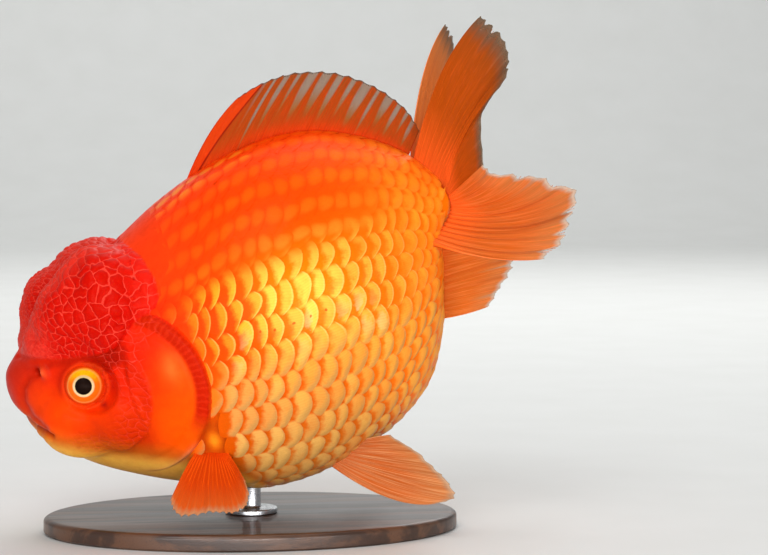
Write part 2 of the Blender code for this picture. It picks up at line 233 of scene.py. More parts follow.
def addNode(tree, kind, inputs=None, **settings):
    made = tree.nodes.new(kind)
    for key, value in settings.items():
        setattr(made, key, value)
    for key, value in (inputs or {}).items():
        if isinstance(value, bpy.types.NodeSocket):
            tree.links.new(value, made.inputs[key])
        elif value is not None:
            made.inputs[key].default_value = value
    return made


def sums(tree, operation, a, b=None, c=None):
    inputs = {i: v for i, v in enumerate((a, b, c)) if v is not None}
    return addNode(tree, "ShaderNodeMath", inputs, operation=operation).outputs[0]


def vectorSums(tree, operation, a, b=None):
    inputs = {i: v for i, v in enumerate((a, b)) if v is not None}
    return addNode(tree, "ShaderNodeVectorMath", inputs, operation=operation).outputs[0]


def ramp(tree, value, low, high, toLow=0.0, toHigh=1.0, kind="SMOOTHSTEP"):
    inputs = {"Value": value, "From Min": low, "From Max": high, "To Min": toLow, "To Max": toHigh}
    return addNode(tree, "ShaderNodeMapRange", inputs, interpolation_type=kind).outputs[0]


def mixColours(tree, factor, a, b, kind="MIX"):
    a, b = (tuple(v) + (1.0,) if isinstance(v, tuple) and len(v) == 3 else v for v in (a, b))
    made = addNode(tree, "ShaderNodeMix", {0: factor, 6: a, 7: b}, data_type="RGBA", blend_type=kind)
    return made.outputs[2]


def attribute(tree, name, output="Fac"):
    return addNode(tree, "ShaderNodeAttribute", attribute_name=name).outputs[output]


def speckle(tree, vector, scale, detail=3.0, roughness=0.5):
    inputs = {"Vector": vector, "Scale": scale, "Detail": detail, "Roughness": roughness}
    return addNode(tree, "ShaderNodeTexNoise", inputs).outputs[0]


def objectPlace(tree):
    return addNode(tree, "ShaderNodeTexCoord").outputs["Object"]


def newMaterial(name):
    made = bpy.data.materials.new(name)
    made.use_nodes = True
    tree = made.node_tree
    return made, tree, tree.nodes["Principled BSDF"]


def gloss(shader, specular, coatWeight, coatRoughness):
    # a weak, warm shine, so that deep reds and oranges stay pure
    shader.inputs["Specular IOR Level"].default_value = specular
    shader.inputs["Specular Tint"].default_value = (1.0, 0.4, 0.2, 1.0)
    shader.inputs["Coat Weight"].default_value = coatWeight
    shader.inputs["Coat Roughness"].default_value = coatRoughness


def bump(tree, height, distance, strength=1.0, normal=None):
    inputs = {"Height": height, "Distance": distance, "Strength": strength, "Normal": normal}
    return addNode(tree, "ShaderNodeBump", inputs).outputs[0]


# ---- markings shared by the skin and the scales


# region: centre x, centre z, reach, colour in the grooves, colour on the crowns
markings = {
    "snout": (-69, 4, 4.0, tone(200, 34, 12), tone(226, 60, 20)),
    "lipLow": (-68, -5, 3.0, tone(196, 50, 12), tone(226, 60, 20)),
    "foreCheek": (-64, -1, 3.0, tone(246, 64, 5), tone(252, 84, 4)),
    "cheekFront": (-60, -6, 4.0, tone(252, 66, 1), tone(252, 84, 4)),
    "aboveEye": (-57, 5, 3.5, tone(214, 34, 6), tone(252, 84, 4)),
    "belowEye": (-51, -9, 4.5, tone(236, 54, 2), tone(250, 80, 4)),
    "cheekLow": (-53, -16, 4.0, tone(176, 50, 4), tone(226, 74, 6)),
    "cheekRear": (-44, -15, 4.0, tone(206, 42, 3), tone(236, 74, 5)),
    "behindEye": (-42, -3, 4.5, tone(214, 30, 4), tone(240, 60, 8)),
    "overGill": (-37, 3, 4.5, tone(228, 26, 6), tone(240, 60, 8)),
    "gillFront": (-33, -6, 4.5, tone(246, 50, 2), tone(254, 100, 8)),
    # gillCentre is bright partly as a painted highlight on the gill cover
    "gillCentre": (-27, -4, 4.0, tone(255, 92, 12), tone(254, 100, 8)),
    "gillLow": (-30, -15, 5.0, tone(255, 84, 1), tone(254, 100, 8)),
    "gillTop": (-28, 7, 5.5, tone(246, 34, 8), tone(252, 70, 14)),
    "nape": (-22, 30, 8.0, tone(244, 58, 14), tone(252, 84, 16)),
    "frontBack": (-5, 30, 11.0, tone(252, 60, 1), tone(255, 102, 8)),
    "topBack": (20, 40, 12.0, tone(252, 64, 1), tone(254, 98, 6)),
    "upperFlank": (12, 26, 9.0, tone(252, 66, 1), tone(254, 112, 8)),
    "upperRear": (36, 30, 9.0, tone(253, 84, 6), tone(254, 128, 20)),
    "chest": (-19, 2, 6.0, tone(250, 68, 1), tone(255, 112, 6)),
    "frontFlank": (-8, 4, 6.5, tone(242, 62, 0), tone(254, 182, 34)),
    # goldHeart: golden, and at its brightest partly a painted glow
    "goldHeart": (9.5, 2.5, 9.0, tone(253, 146, 3), tone(255, 236, 96)),
    "midFlank": (2, -11, 7.5, tone(242, 78, 1), tone(250, 168, 52)),
    "frontBelly": (-14, -22, 8.0, tone(216, 88, 4), tone(234, 176, 92)),
    "belly": (6, -28, 11.0, tone(206, 88, 6), tone(222, 164, 76)),
    "keel": (0, -44, 9.0, tone(206, 118, 36), tone(220, 176, 100)),
    "rearFlank": (27, 2, 10.0, tone(253, 108, 8), tone(254, 164, 52)),
    "rearBelly": (28, -22, 9.0, tone(246, 112, 10), tone(248, 168, 62)),
    "stalk": (47, 8, 8.0, tone(253, 108, 8), tone(254, 150, 34)),
    "stalkTop": (50, 25, 7.0, tone(252, 96, 8), tone(254, 158, 38)),
    "stalkEnd": (56.5, 9, 4.2, tone(255, 160, 14), tone(255, 214, 70)),
}
# how low the orange reaches on the jaw and throat along the body, and the paler tones beneath it
palePart = {
    "x": (-72, -64, -57, -50, -43, -36, -28, -20, -10),
    "z": (-1, -9.0, -13.6, -17.6, -21.0, -24.2, -29, -35, -48),
    "steps": ((3.4, 0.4, tone(200, 96, 22)), (2.4, -3.2, tone(240, 178, 72)), (4.0, -9.0, tone(232, 172, 88))),
}


goldDots = {
    "line": ((-17.0, 35.4), (-9.0, 38.0), (0.0, 40.0), (9.0, 41.3)), "reach": 1.7, "colour": tone(255, 196, 50),
}


def paint(co):
    # groove and crown colours at each place, in the fish's frame
    weights = []
    for x, z, reach, _, _ in markings.values():
        away = (co[:, 0] - x) ** 2 + (co[:, 2] - z) ** 2
        weights.append(np.exp(-away / (2 * reach * reach)) + 1e-9)
    weights = np.array(weights)
    weights /= weights.sum(0)
    deep = weights.T @ np.array([row[3] for row in markings.values()])
    crown = weights.T @ np.array([row[4] for row in markings.values()])
    ridge = hump(0, goldDots["reach"], nearLine(co[:, 0], co[:, 2], goldDots["line"]))
    ridge *= smoothStep(15, 8, np.abs(co[:, 1]))
    crown = blend(crown, goldDots["colour"], ridge)
    border = np.interp(co[:, 0], palePart["x"], palePart["z"])
    for soft, drop, colour in palePart["steps"]:
        pale = (1 - smoothStep(-soft, soft, co[:, 2] - border - drop)) * smoothStep(-8, -16, co[:, 0])
        deep, crown = blend(deep, colour, pale), blend(crown, colour, pale)
    return deep, crown


def blend(colours, colour, amount):
    return colours + (np.array(colour) - colours) * amount[:, None]


gillCover = {
    "x": -41.0, "z": -6.0, "rx": 20.0, "rz": 22.0,
    "from": -105.0, "to": 82.0,  # degrees, 0 towards the tail
    "proud": 1.5, "step": 0.9, "rim": 3.6, "rimDip": 0.35,
    "rimColour": tone(196, 28, 2), "folds": 75.0,
}


def gillEdge(co):
    # distance inside the gill cover's edge in mm, negative outside, and the angle round it
    dx, dz = co[:, 0] - gillCover["x"], co[:, 2] - gillCover["z"]
    angle = np.degrees(np.arctan2(dz / gillCover["rz"], dx / gillCover["rx"]))
    reach = np.hypot(dx / gillCover["rx"], dz / gillCover["rz"])
    inside = (1 - reach) * (gillCover["rx"] + gillCover["rz"]) / 2
    ends = smoothStep(gillCover["from"], gillCover["from"] + 25, angle)
    ends *= 1 - smoothStep(gillCover["to"] - 14, gillCover["to"], angle)
    return inside, angle, ends


def lobeReach(co, lobes):
    # below 1 inside the nearest lobe
    nearest = np.full(len(co), 9.0)
    for x, out, z, rx, ry, rz in lobes:
        away = ((co[:, 0] - x) / rx) ** 2 + ((np.abs(co[:, 1]) - out) / ry) ** 2 + ((co[:, 2] - z) / rz) ** 2
        nearest = np.minimum(nearest, np.sqrt(away))
    return nearest


# the hood's outline seen from the side, x and z: along its lower edge to the rear, then over the top
hoodOutline = (
    (-69.0, 17.0), (-65.4, 12.6), (-61.5, 10.6), (-57.5, 9.3), (-54.0, 8.3), (-49.2, 7.4), (-43.7, 6.4),
    (-40.5, 6.8), (-37.3, 8.8), (-33.7, 11.3), (-29.8, 12.1), (-27.2, 12.9), (-25.4, 15.3), (-24.7, 20.0),
    (-25.8, 26.0), (-29.2, 31.4), (-32.0, 42.0), (-50.0, 44.0), (-69.0, 34.0),
)


def hoodOver(co):
    # distance in mm inside the hood's outline, negative outside
    x, z = co[:, 0], co[:, 2]
    inside = np.zeros(len(co), bool)
    closed = hoodOutline + hoodOutline[:1]
    for (ax, az), (bx, bz) in zip(closed, closed[1:]):
        if az != bz:
            inside ^= ((az > z) != (bz > z)) & (x < ax + (bx - ax) * (z - az) / (bz - az))
    return nearLine(x, z, closed) * np.where(inside, 1.0, -1.0)


# the cheek's swollen pad ends behind in a rounded step
cheekPad = {"x": -49.0, "z": -5.0, "rx": 13.8, "rz": 14.8, "proud": 0.6}


def padInside(co):
    # distance in mm inside the pad's edge
    reach = np.hypot((co[:, 0] - cheekPad["x"]) / cheekPad["rx"], (co[:, 2] - cheekPad["z"]) / cheekPad["rz"])
    return (1 - reach) * (cheekPad["rx"] + cheekPad["rz"]) / 2


def scaleRelief(co):
    # 0 where the skin is bare, 1 where the scales stand fully
    x, y, z = co.T
    relief = 0.2 + 0.8 * smoothStep(22, -2, z)  # the back is smoother
    relief = np.maximum(relief, smoothStep(24, 50, x) * smoothStep(34, 18, z) * 0.4)
    relief *= 0.6 + 0.4 * smoothStep(-26, -4, x + 0.2 * z)
    relief *= 1 - smoothStep(44, 60, x) * 0.4
    return relief


coatDepth = 0.9  # how far the skin lies below the tops of the scales


# ---- the skin


skin = {
    "voxel": 1.0,
    "smoothing": 9,
    "headEnd": -17.0,
    "headSmoothing": 3,
    "cheekSmoothing": 14,
}
creases = {
    # side-view lines pressed into the head: width, depth, then x, z points
    "mouth": (0.75, 1.5, ((-72.5, 0.2), (-70.2, -3.6), (-67.4, -7.0), (-64.2, -9.8))),
    "lip": (1.0, 0.8, ((-61.6, 6.6), (-64.4, 6.2), (-67.0, 4.0), (-68.2, 0.4), (-67.4, -3.4), (-65.0, -7.4))),
}


def nearLine(x, z, points):
    nearest = np.full(len(x), 99.0)
    for (ax, az), (bx, bz) in zip(points, points[1:]):
        dx, dz = bx - ax, bz - az
        t = np.clip(((x - ax) * dx + (z - az) * dz) / (dx * dx + dz * dz), 0, 1)
        nearest = np.minimum(nearest, np.hypot(x - ax - t * dx, z - az - t * dz))
    return nearest


def makeSkin():
    bm = bmesh.new()
    bodyLoft(bm)
    for side in (-1, 1):
        for size in hoodHalves[side] + cheekLobes + finRoots:
            addLobe(bm, size, side)
    raw = meshObject("skin_raw", bm)
    remesh = raw.modifiers.new("oneSkin", "REMESH")
    remesh.mode = "VOXEL"
    remesh.voxel_size = skin["voxel"]
    relax = raw.modifiers.new("relax", "SMOOTH")
    relax.factor, relax.iterations = 0.5, skin["smoothing"]
    obj = settled(raw, "skin")

    bm = bmesh.new()
    bm.from_mesh(obj.data)
    head = {v for v in bm.verts if v.co.x - 0.36 * v.co.z < skin["headEnd"]}
    edges = [e for e in bm.edges if e.verts[0] in head and e.verts[1] in head]
    bmesh.ops.subdivide_edges(bm, edges=edges, cuts=1, use_grid_fill=True)
    relaxed = [v for v in bm.verts if v.co.x - 0.36 * v.co.z < skin["headEnd"] + 1]
    for _ in range(skin["headSmoothing"]):
        bmesh.ops.smooth_vert(bm, verts=relaxed, factor=0.5, use_axis_x=True, use_axis_y=True, use_axis_z=True)
    cheeks = [v for v in bm.verts if v.co.z < 5 and -50 < v.co.x < skin["headEnd"]]
    for _ in range(skin["cheekSmoothing"]):
        bmesh.ops.smooth_vert(bm, verts=cheeks, factor=0.5, use_axis_x=True, use_axis_y=True, use_axis_z=True)
    bm.to_mesh(obj.data)
    bm.free()

    mesh = obj.data
    co, lie = places(mesh), normalsOf(mesh)
    x, y, z = co.T
    side = np.abs(y)
    reach = lobeReach(co, hoodLobes)
    over = hoodOver(co)
    hood = smoothStep(-0.35, 0.35, over)
    pad = padInside(co)
    onPad = smoothStep(-0.5, 0.5, pad) * smoothStep(-50, -44, x) * smoothStep(5, 1, z) * (1 - hood)
    cheek = 1 - smoothStep(1.0, 1.14, lobeReach(co, cheekLobes))
    inside, angle, ends = gillEdge(co)
    cover = ends * (1 - hood) * smoothStep(4, 9, side)
    onCheek = smoothStep(-56, -42, x)
    push = gillCover["proud"] * smoothStep(-gillCover["step"], gillCover["step"] * 0.6, inside) * cover * onCheek
    push -= gillCover["rimDip"] * hump(gillCover["rim"], 1.0, inside) * cover * (1 - cheek)
    # the hood hangs over the nape with a rounded edge
    edge = np.sqrt(np.clip(over / 2.2, 0, 1)) * smoothStep(0.88, 1.02, reach) * smoothStep(6, 11, side)
    push += hoodPaint["overhang"] * edge * smoothStep(-46, -38, x)
    push -= 0.55 * hump(-0.5, 0.6, over) * smoothStep(-47, -42, x) * smoothStep(6, 11, side) * smoothStep(16, 12, z)
    push -= 0.8 * hump(-0.4, 0.8, over) * smoothStep(-56, -61, x) * smoothStep(2, 5, side)
    push += cheekPad["proud"] * onPad
    push -= 0.95 * (1 - cover * smoothStep(-2.5, 0.5, inside)) * (1 - hood) * (1 - cheek) * \
        smoothStep(0, 9, x + 34 - 14 * smoothStep(12, 24, z)) * (1 - smoothStep(-2.6, -0.8, over))
    # creases of the mouth, the lip and the parting of the hood
    onFront = smoothStep(0, 3, side) * 0.4 + 0.6
    for width, depth, line in creases.values():
        push -= depth * hump(0, width, nearLine(x, z, line)) * onFront
    push -= 0.9 * hump(0, 1.6, side) * hood
    lumps = np.array([noise.noise(Vector(place) * hoodPaint["lumpScale"]) for place in co.tolist()])
    push += hoodPaint["lumps"] * lumps * hood * smoothStep(0, 4, over)
    # nostril: a pit with a flap behind it
    away = np.hypot(x + 61.6, z - 6.9)
    flap = np.hypot(x + 60.0, (z - 6.4) * 0.55)
    push += 1.7 * hump(0, 0.9, flap) - 1.9 * hump(0, 0.8, away)
    # lid round the eye
    fromEye = np.hypot(x - pose["eyeX"], z - pose["eyeZ"])
    onLid = (side > 8) * (y != 0)
    push += (0.6 * hump(5.9, 0.7, fromEye) - 0.55 * hump(4.4, 1.3, fromEye)) * onLid
    push -= 0.3 * hump(7.6, 0.9, fromEye) * onLid * smoothStep(0, -5, z)
    co = co + lie * push[:, None]
    fromEye = np.hypot(co[:, 0] - pose["eyeX"], co[:, 2] - pose["eyeZ"])
    ball = eye["out"] + np.sqrt(np.maximum(eye["radius"] ** 2 - fromEye ** 2, 0.1))
    ceiling = np.where(fromEye < eye["opening"], ball - 0.9, ball + 0.6 + 0.45 * (fromEye - eye["opening"]) ** 2)
    ceiling = np.where(fromEye > eye["opening"] + 3.4, 99.0, ceiling)
    co[:, 1] = np.sign(co[:, 1]) * np.minimum(np.abs(co[:, 1]), ceiling)
    setPlaces(mesh, co)

    deep, crown = paint(co)
    rim = smoothStep(-0.8, 0.2, inside) * smoothStep(gillCover["rim"] + 0.8, gillCover["rim"] - 0.8, inside)
    rim *= cover * (1 - cheek) * smoothStep(-52, -28, angle)
    deep = blend(deep, gillCover["rimColour"], rim)
    band = onPad * smoothStep(10.5, 7.0, pad)
    overGill = smoothStep(-39, -36, x) * smoothStep(-26, -31, x) * smoothStep(3, 7, z)
    low = smoothStep(-1, 1, pad) * smoothStep(8, 4, pad) * smoothStep(-9, -13, z) * (1 - hood)
    cells = np.maximum.reduce([hood, band * 0.55, low * 0.35, overGill * 0.55 * (1 - hood), onTemple(co) * 0.8])
    deep = blend(deep, cheekPad["colour"], onPad * smoothStep(6.5, 0.5, pad) * smoothStep(-18, -10, z) * 0.75)
    deep = blend(deep, hoodPaint["heart"], hood)
    # painted sheen: the hood turns pinker where it faces away from the side
    facing = np.abs(lie[:, 1])
    deep = blend(deep, hoodPaint["crestSheen"], hood * smoothStep(0.75, 0.25, facing) * smoothStep(4, 14, z) * 0.75)
    deep = blend(deep, hoodPaint["nape"], hood * smoothStep(-36, -27, x) * 0.7)
    # the brow: a grainy frost, paler partly as a painted highlight
    brow = hood * smoothStep(-53, -61, x) * smoothStep(24, 13, z)
    deep = blend(deep, hoodPaint["frostAndHighlight"], brow * 0.7)
    cells *= 1 - 0.75 * brow
    # painted shadow, deep red, beneath the hood's lower edge
    under = (1 - smoothStep(1.02, 1.2, lobeReach(co, hoodLobes))) * (1 - hood) * smoothStep(11, 6, z)
    deep = blend(deep, hoodPaint["shade"], under * smoothStep(-34, -42, x) * smoothStep(-66, -60, x))
    for spotX, spotZ, reach, strength in hoodPaint["spots"]:
        deep = blend(deep, hoodPaint["spot"], hump(0, reach, np.hypot(x - spotX, z - spotZ)) * strength)
    # painted shade in the lip crease, the mouth line, the nostril pit and round the top of the eye; a pale nostril
    # flap, the lid, a painted highlight on the gill cover, and the gill cover's soft edge below
    deep = blend(deep, faceTones["crease"], hump(0, 0.8, nearLine(x, z, creases["lip"][2])) * 0.6)
    deep = blend(deep, faceTones["mouth"], hump(0, 0.5, nearLine(x, z, creases["mouth"][2])) * 0.8)
    deep = blend(deep, faceTones["flap"], hump(0, 0.75, flap) * 0.7)
    deep = blend(deep, faceTones["mouth"], hump(0, 0.65, away))
    deep = blend(deep, faceTones["lid"], hump(5.7, 0.6, fromEye) * 0.6)
    deep = blend(deep, faceTones["crease"], hump(6.8, 0.8, fromEye) * smoothStep(-3, 2, z) * 0.6)
    deep = blend(deep, faceTones["shine"], hump(0, 1.9, np.hypot(x + 28.5, (z + 2.6) * 0.6)) * 0.5)
    lowEdge = hump(0, 0.9, inside) * cover * smoothStep(-48, -62, angle)
    deep = blend(deep, faceTones["edge"], lowEdge * 0.6)
    # painted shade round the knob at the pectoral fin's root, and a painted highlight on the knob
    knob = np.hypot(x + 25.2, (z + 25.4) * 0.6)
    deep = blend(deep, faceTones["socket"], hump(2.6, 1.3, knob) * (side > 12) * 0.6)
    deep = blend(deep, faceTones["knob"], hump(0, 1.3, knob) * (side > 12))
    storeFloat(mesh, "grain", brow)
    storeFloat(mesh, "gillTurn", np.radians(angle) * gillCover["folds"])
    storeColour(mesh, "tone", deep)
    storeFloat(mesh, "warts", cells)
    storeFloat(mesh, "hood", hood)
    storeFloat(mesh, "rim", rim)
    storeVector(mesh, "wartPlace", wartPlace(co))
    print("skin:", len(mesh.polygons), "faces")
    return obj


faceTones = {
    "crease": tone(176, 22, 3), "mouth": tone(132, 16, 4), "flap": tone(246, 104, 52), "lid": tone(240, 74, 18),
    "shine": tone(255, 128, 50), "edge": tone(230, 152, 96), "knob": tone(255, 156, 30),
    "socket": tone(176, 64, 10),
}
cheekPad["colour"] = tone(206, 30, 4)
hoodPaint = {
    "heart": tone(200, 10, 3),
    "crestSheen": tone(222, 56, 42),
    "nape": tone(232, 32, 18),
    "frostAndHighlight": tone(214, 48, 36),
    "seam": tone(238, 72, 56),
    "shade": tone(164, 12, 2),
    "spot": tone(120, 4, 18),
    "spots": ((-48.3, -6.2, 1.0, 0.75), (-45.2, -2.6, 1.5, 0.35), (-46.6, -0.6, 1.3, 0.3)),
    "wartSize": 3.35,  # of the largest warts
    "overhang": 1.5,
    "crowding": 0.5,  # how much smaller they get to the front
    "seamWidth": 0.06,
    "relief": 0.34,
    "lumps": 0.9,  # mm that the broad lumps stand proud
    "lumpScale": 0.19,
}


def onTemple(co):
    # the warts go on behind the eye, between the hood and the cheek
    x, z = co[:, 0], co[:, 2]
    return smoothStep(-47, -43, x) * smoothStep(-33, -37, x) * smoothStep(-2, 1, z) * (np.abs(co[:, 1]) > 6)


def wartPlace(co):
    # flat co-ordinates over each half of the head, tighter to the front and low down
    side = np.where(co[:, 1] < 0, -1.0, 1.0)
    centre = np.array((-42.0, 0.0, 8.0))
    away = co - centre
    away[:, 1] *= side
    away /= np.linalg.norm(away, axis=1)[:, None]
    pole = Vector((-0.12, 1.0, 0.2)).normalized()
    across = pole.cross(Vector((0, 0, 1))).normalized()
    up = across.cross(pole)
    depth = np.clip(away @ np.array(pole), -1, 1)
    flat = np.stack([away @ np.array(across), away @ np.array(up)], 1)
    stretch = np.arccos(depth) / np.maximum(np.linalg.norm(flat, axis=1), 1e-6)
    flat *= stretch[:, None] * 25.0
    # across grows to the snout or the tail: turn it so that +X is the snout
    forward = flat[:, 0] * (1 if across.x < 0 else -1)
    spot = np.stack([forward + 14.0, flat[:, 1] - 10.0], 1)
    spread = np.linalg.norm(spot, axis=1) / 34.0
    spot *= (1 + hoodPaint["crowding"] * spread ** 2)[:, None] / hoodPaint["wartSize"]
    for size, reach in ((0.2, 0.3), (0.42, 0.24), (0.9, 0.1)):
        spot += np.array([noise.noise_vector(Vector(p) * size)[:2] for p in co.tolist()]) * reach
    spot += np.where(side < 0, 0.0, 37.3)[:, None]
    return np.concatenate([spot, np.zeros((len(co), 1))], 1)


def wartDistance(tree, place):
    # 0 on the seams, with the corners filled so that the warts come out rounded
    found = []
    for feature in ("F1", "F2"):
        inputs = {"Vector": place, "Scale": 1.0, "Randomness": 0.7}
        made = addNode(tree, "ShaderNodeTexVoronoi", inputs, feature=feature, voronoi_dimensions="2D")
        found.append(made.outputs["Distance"])
    return sums(tree, "MULTIPLY", sums(tree, "SUBTRACT", found[1], found[0]), 0.5)


def newTree(name, inputs):
    tree = bpy.data.node_groups.new(name, "GeometryNodeTree")
    tree.interface.new_socket("Geometry", in_out="INPUT", socket_type="NodeSocketGeometry")
    sockets = {}
    for key, kind in inputs.items():
        sockets[key] = tree.interface.new_socket(key, in_out="INPUT", socket_type="NodeSocket" + kind)
    tree.interface.new_socket("Geometry", in_out="OUTPUT", socket_type="NodeSocketGeometry")
    start = tree.nodes.new("NodeGroupInput")
    end = tree.nodes.new("NodeGroupOutput")
    return tree, start, end, {key: socket.identifier for key, socket in sockets.items()}


def named(tree, name, kind="FLOAT"):
    made = addNode(tree, "GeometryNodeInputNamedAttribute", {"Name": name}, data_type=kind)
    return made.outputs[0]


def closeTree(tree, start, end, geometry):
    geometry = addNode(tree, "GeometryNodeRealizeInstances", {0: geometry}).outputs[0]
    finish = addNode(tree, "GeometryNodeSetMaterial", {"Geometry": geometry, "Material": start.outputs["Finish"]})
    tree.links.new(finish.outputs[0], end.inputs[0])


def addTree(obj, tree, identifiers, values):
    grown = obj.modifiers.new(tree.name, "NODES")
    grown.node_group = tree
    for key, value in values.items():
        grown[identifiers[key]] = value
    return obj


def growWarts(obj, finish):
    # presses the seams between the warts into the hood
    tree, start, end, ids = newTree("hoodWarts", {"Relief": "Float", "Seam width": "Float", "Finish": "Material"})
    distance = wartDistance(tree, named(tree, "wartPlace", "FLOAT_VECTOR"))
    width = sums(tree, "MULTIPLY", start.outputs["Seam width"], 4.5)
    seam = sums(tree, "SUBTRACT", 1.0, ramp(tree, distance, 0.0, width))
    depth = sums(tree, "MULTIPLY", sums(tree, "MULTIPLY", seam, named(tree, "warts")), start.outputs["Relief"])
    offset = addNode(tree, "ShaderNodeVectorMath", {0: addNode(tree, "GeometryNodeInputNormal").outputs[0],
                     "Scale": sums(tree, "MULTIPLY", depth, -1.0)}, operation="SCALE").outputs[0]
    moved = addNode(tree, "GeometryNodeSetPosition", {"Geometry": start.outputs["Geometry"], "Offset": offset})
    closeTree(tree, start, end, moved.outputs[0])
    addTree(obj, tree, ids, {"Relief": hoodPaint["relief"], "Seam width": hoodPaint["seamWidth"], "Finish": finish})
    return settled(obj, "skin")


def skinFinish():
    made, tree, shader = newMaterial("fish_skin")
    place = objectPlace(tree)
    warts, hood = attribute(tree, "warts"), attribute(tree, "hood")
    distance = wartDistance(tree, attribute(tree, "wartPlace", "Vector"))
    blotch = speckle(tree, place, 420.0, 4.0, 0.6)
    fine = speckle(tree, place, 2600.0, 3.0, 0.6)
    base = mixColours(tree, ramp(tree, blotch, 0.35, 0.7, 0.0, 0.16), attribute(tree, "tone", "Color"),
                      tone(170, 16, 2))
    base = mixColours(tree, ramp(tree, fine, 0.5, 0.8, 0.0, 0.08), base, tone(255, 110, 30))
    width = sums(tree, "MULTIPLY", ramp(tree, blotch, 0.3, 0.7, 0.7, 1.25), hoodPaint["seamWidth"])
    seam = sums(tree, "SUBTRACT", 1.0, ramp(tree, distance, sums(tree, "MULTIPLY", width, 0.2), width))
    seam = sums(tree, "MULTIPLY", sums(tree, "MULTIPLY", seam, warts), ramp(tree, fine, 0.2, 0.6, 0.35, 0.75))
    base = mixColours(tree, seam, base, hoodPaint["seam"])
    # fine grains on the brow, and folds across the gill cover's rim
    pimple = addNode(tree, "ShaderNodeTexVoronoi", {"Vector": place, "Scale": 1100.0}).outputs["Distance"]
    grain = sums(tree, "MULTIPLY", ramp(tree, pimple, 0.3, 0.7), attribute(tree, "grain"))
    base = mixColours(tree, sums(tree, "MULTIPLY", grain, 0.35), base, hoodPaint["seam"])
    folds = sums(tree, "SINE", sums(tree, "ADD", attribute(tree, "gillTurn"), sums(tree, "MULTIPLY", blotch, 9.0)))
    folds = sums(tree, "MULTIPLY", ramp(tree, folds, -0.2, 1.0), attribute(tree, "rim"))
    base = mixColours(tree, sums(tree, "MULTIPLY", folds, 0.16), base, tone(250, 66, 30))
    height = sums(tree, "MULTIPLY", ramp(tree, distance, 0.0, 0.16), warts)
    height = sums(tree, "ADD", height, sums(tree, "MULTIPLY", sums(tree, "ADD", grain, folds), -0.25))
    height = sums(tree, "ADD", height, sums(tree, "MULTIPLY", fine, 0.15))
    tree.links.new(bump(tree, height, 0.00016, 0.6), shader.inputs["Normal"])
    tree.links.new(base, shader.inputs["Base Color"])
    tree.links.new(ramp(tree, blotch, 0.3, 0.7, 0.36, 0.5), shader.inputs["Roughness"])
    shader.inputs["Subsurface Weight"].default_value = 0.12
    shader.inputs["Subsurface Radius"].default_value = (1.0, 0.35, 0.12)
    shader.inputs["Subsurface Scale"].default_value = 0.0015
    gloss(shader, 0.08, 0.02, 0.25)
    return made


# ---- the scales


coat = {
    "front": (-38.0, -4.0),  # x and z of the axis that the columns stand round
    "rear": (55.0, 8.5),
    "lean": 20.0,  # degrees that each column leans to the tail
    "spacing": ((0, 4.2), (7, 4.5), (10, 5.3), (14, 4.8), (17, 4.0), (23, 2.9)),  # column, mm to the next
    "columns": 22,
    "rows": 17,
    "pad": 3,
    "slant": -0.06,  # rows climb to the tail, in rows per column
    "samples": 3,
    "seed": 4,
    "nearGill": tone(246, 116, 14),  # of the scales just behind the gill cover
}


def coreTree():
    bm = bmesh.new()
    bodyLoft(bm)
    bmesh.ops.recalc_face_normals(bm, faces=bm.faces)
    found = BVHTree.FromBMesh(bm)
    bm.free()
    return found


def columnPlaces():
    # how far along the axis each column sample stands, 0 to 1
    pad, fine = coat["pad"], coat["samples"]
    steps = np.arange(-pad * fine, (coat["columns"] + pad) * fine + 1) / fine
    spacing = np.interp(steps, *zip(*coat["spacing"]))
    along = np.cumsum(spacing) / fine
    along -= np.interp(0, steps, along)
    return steps, along


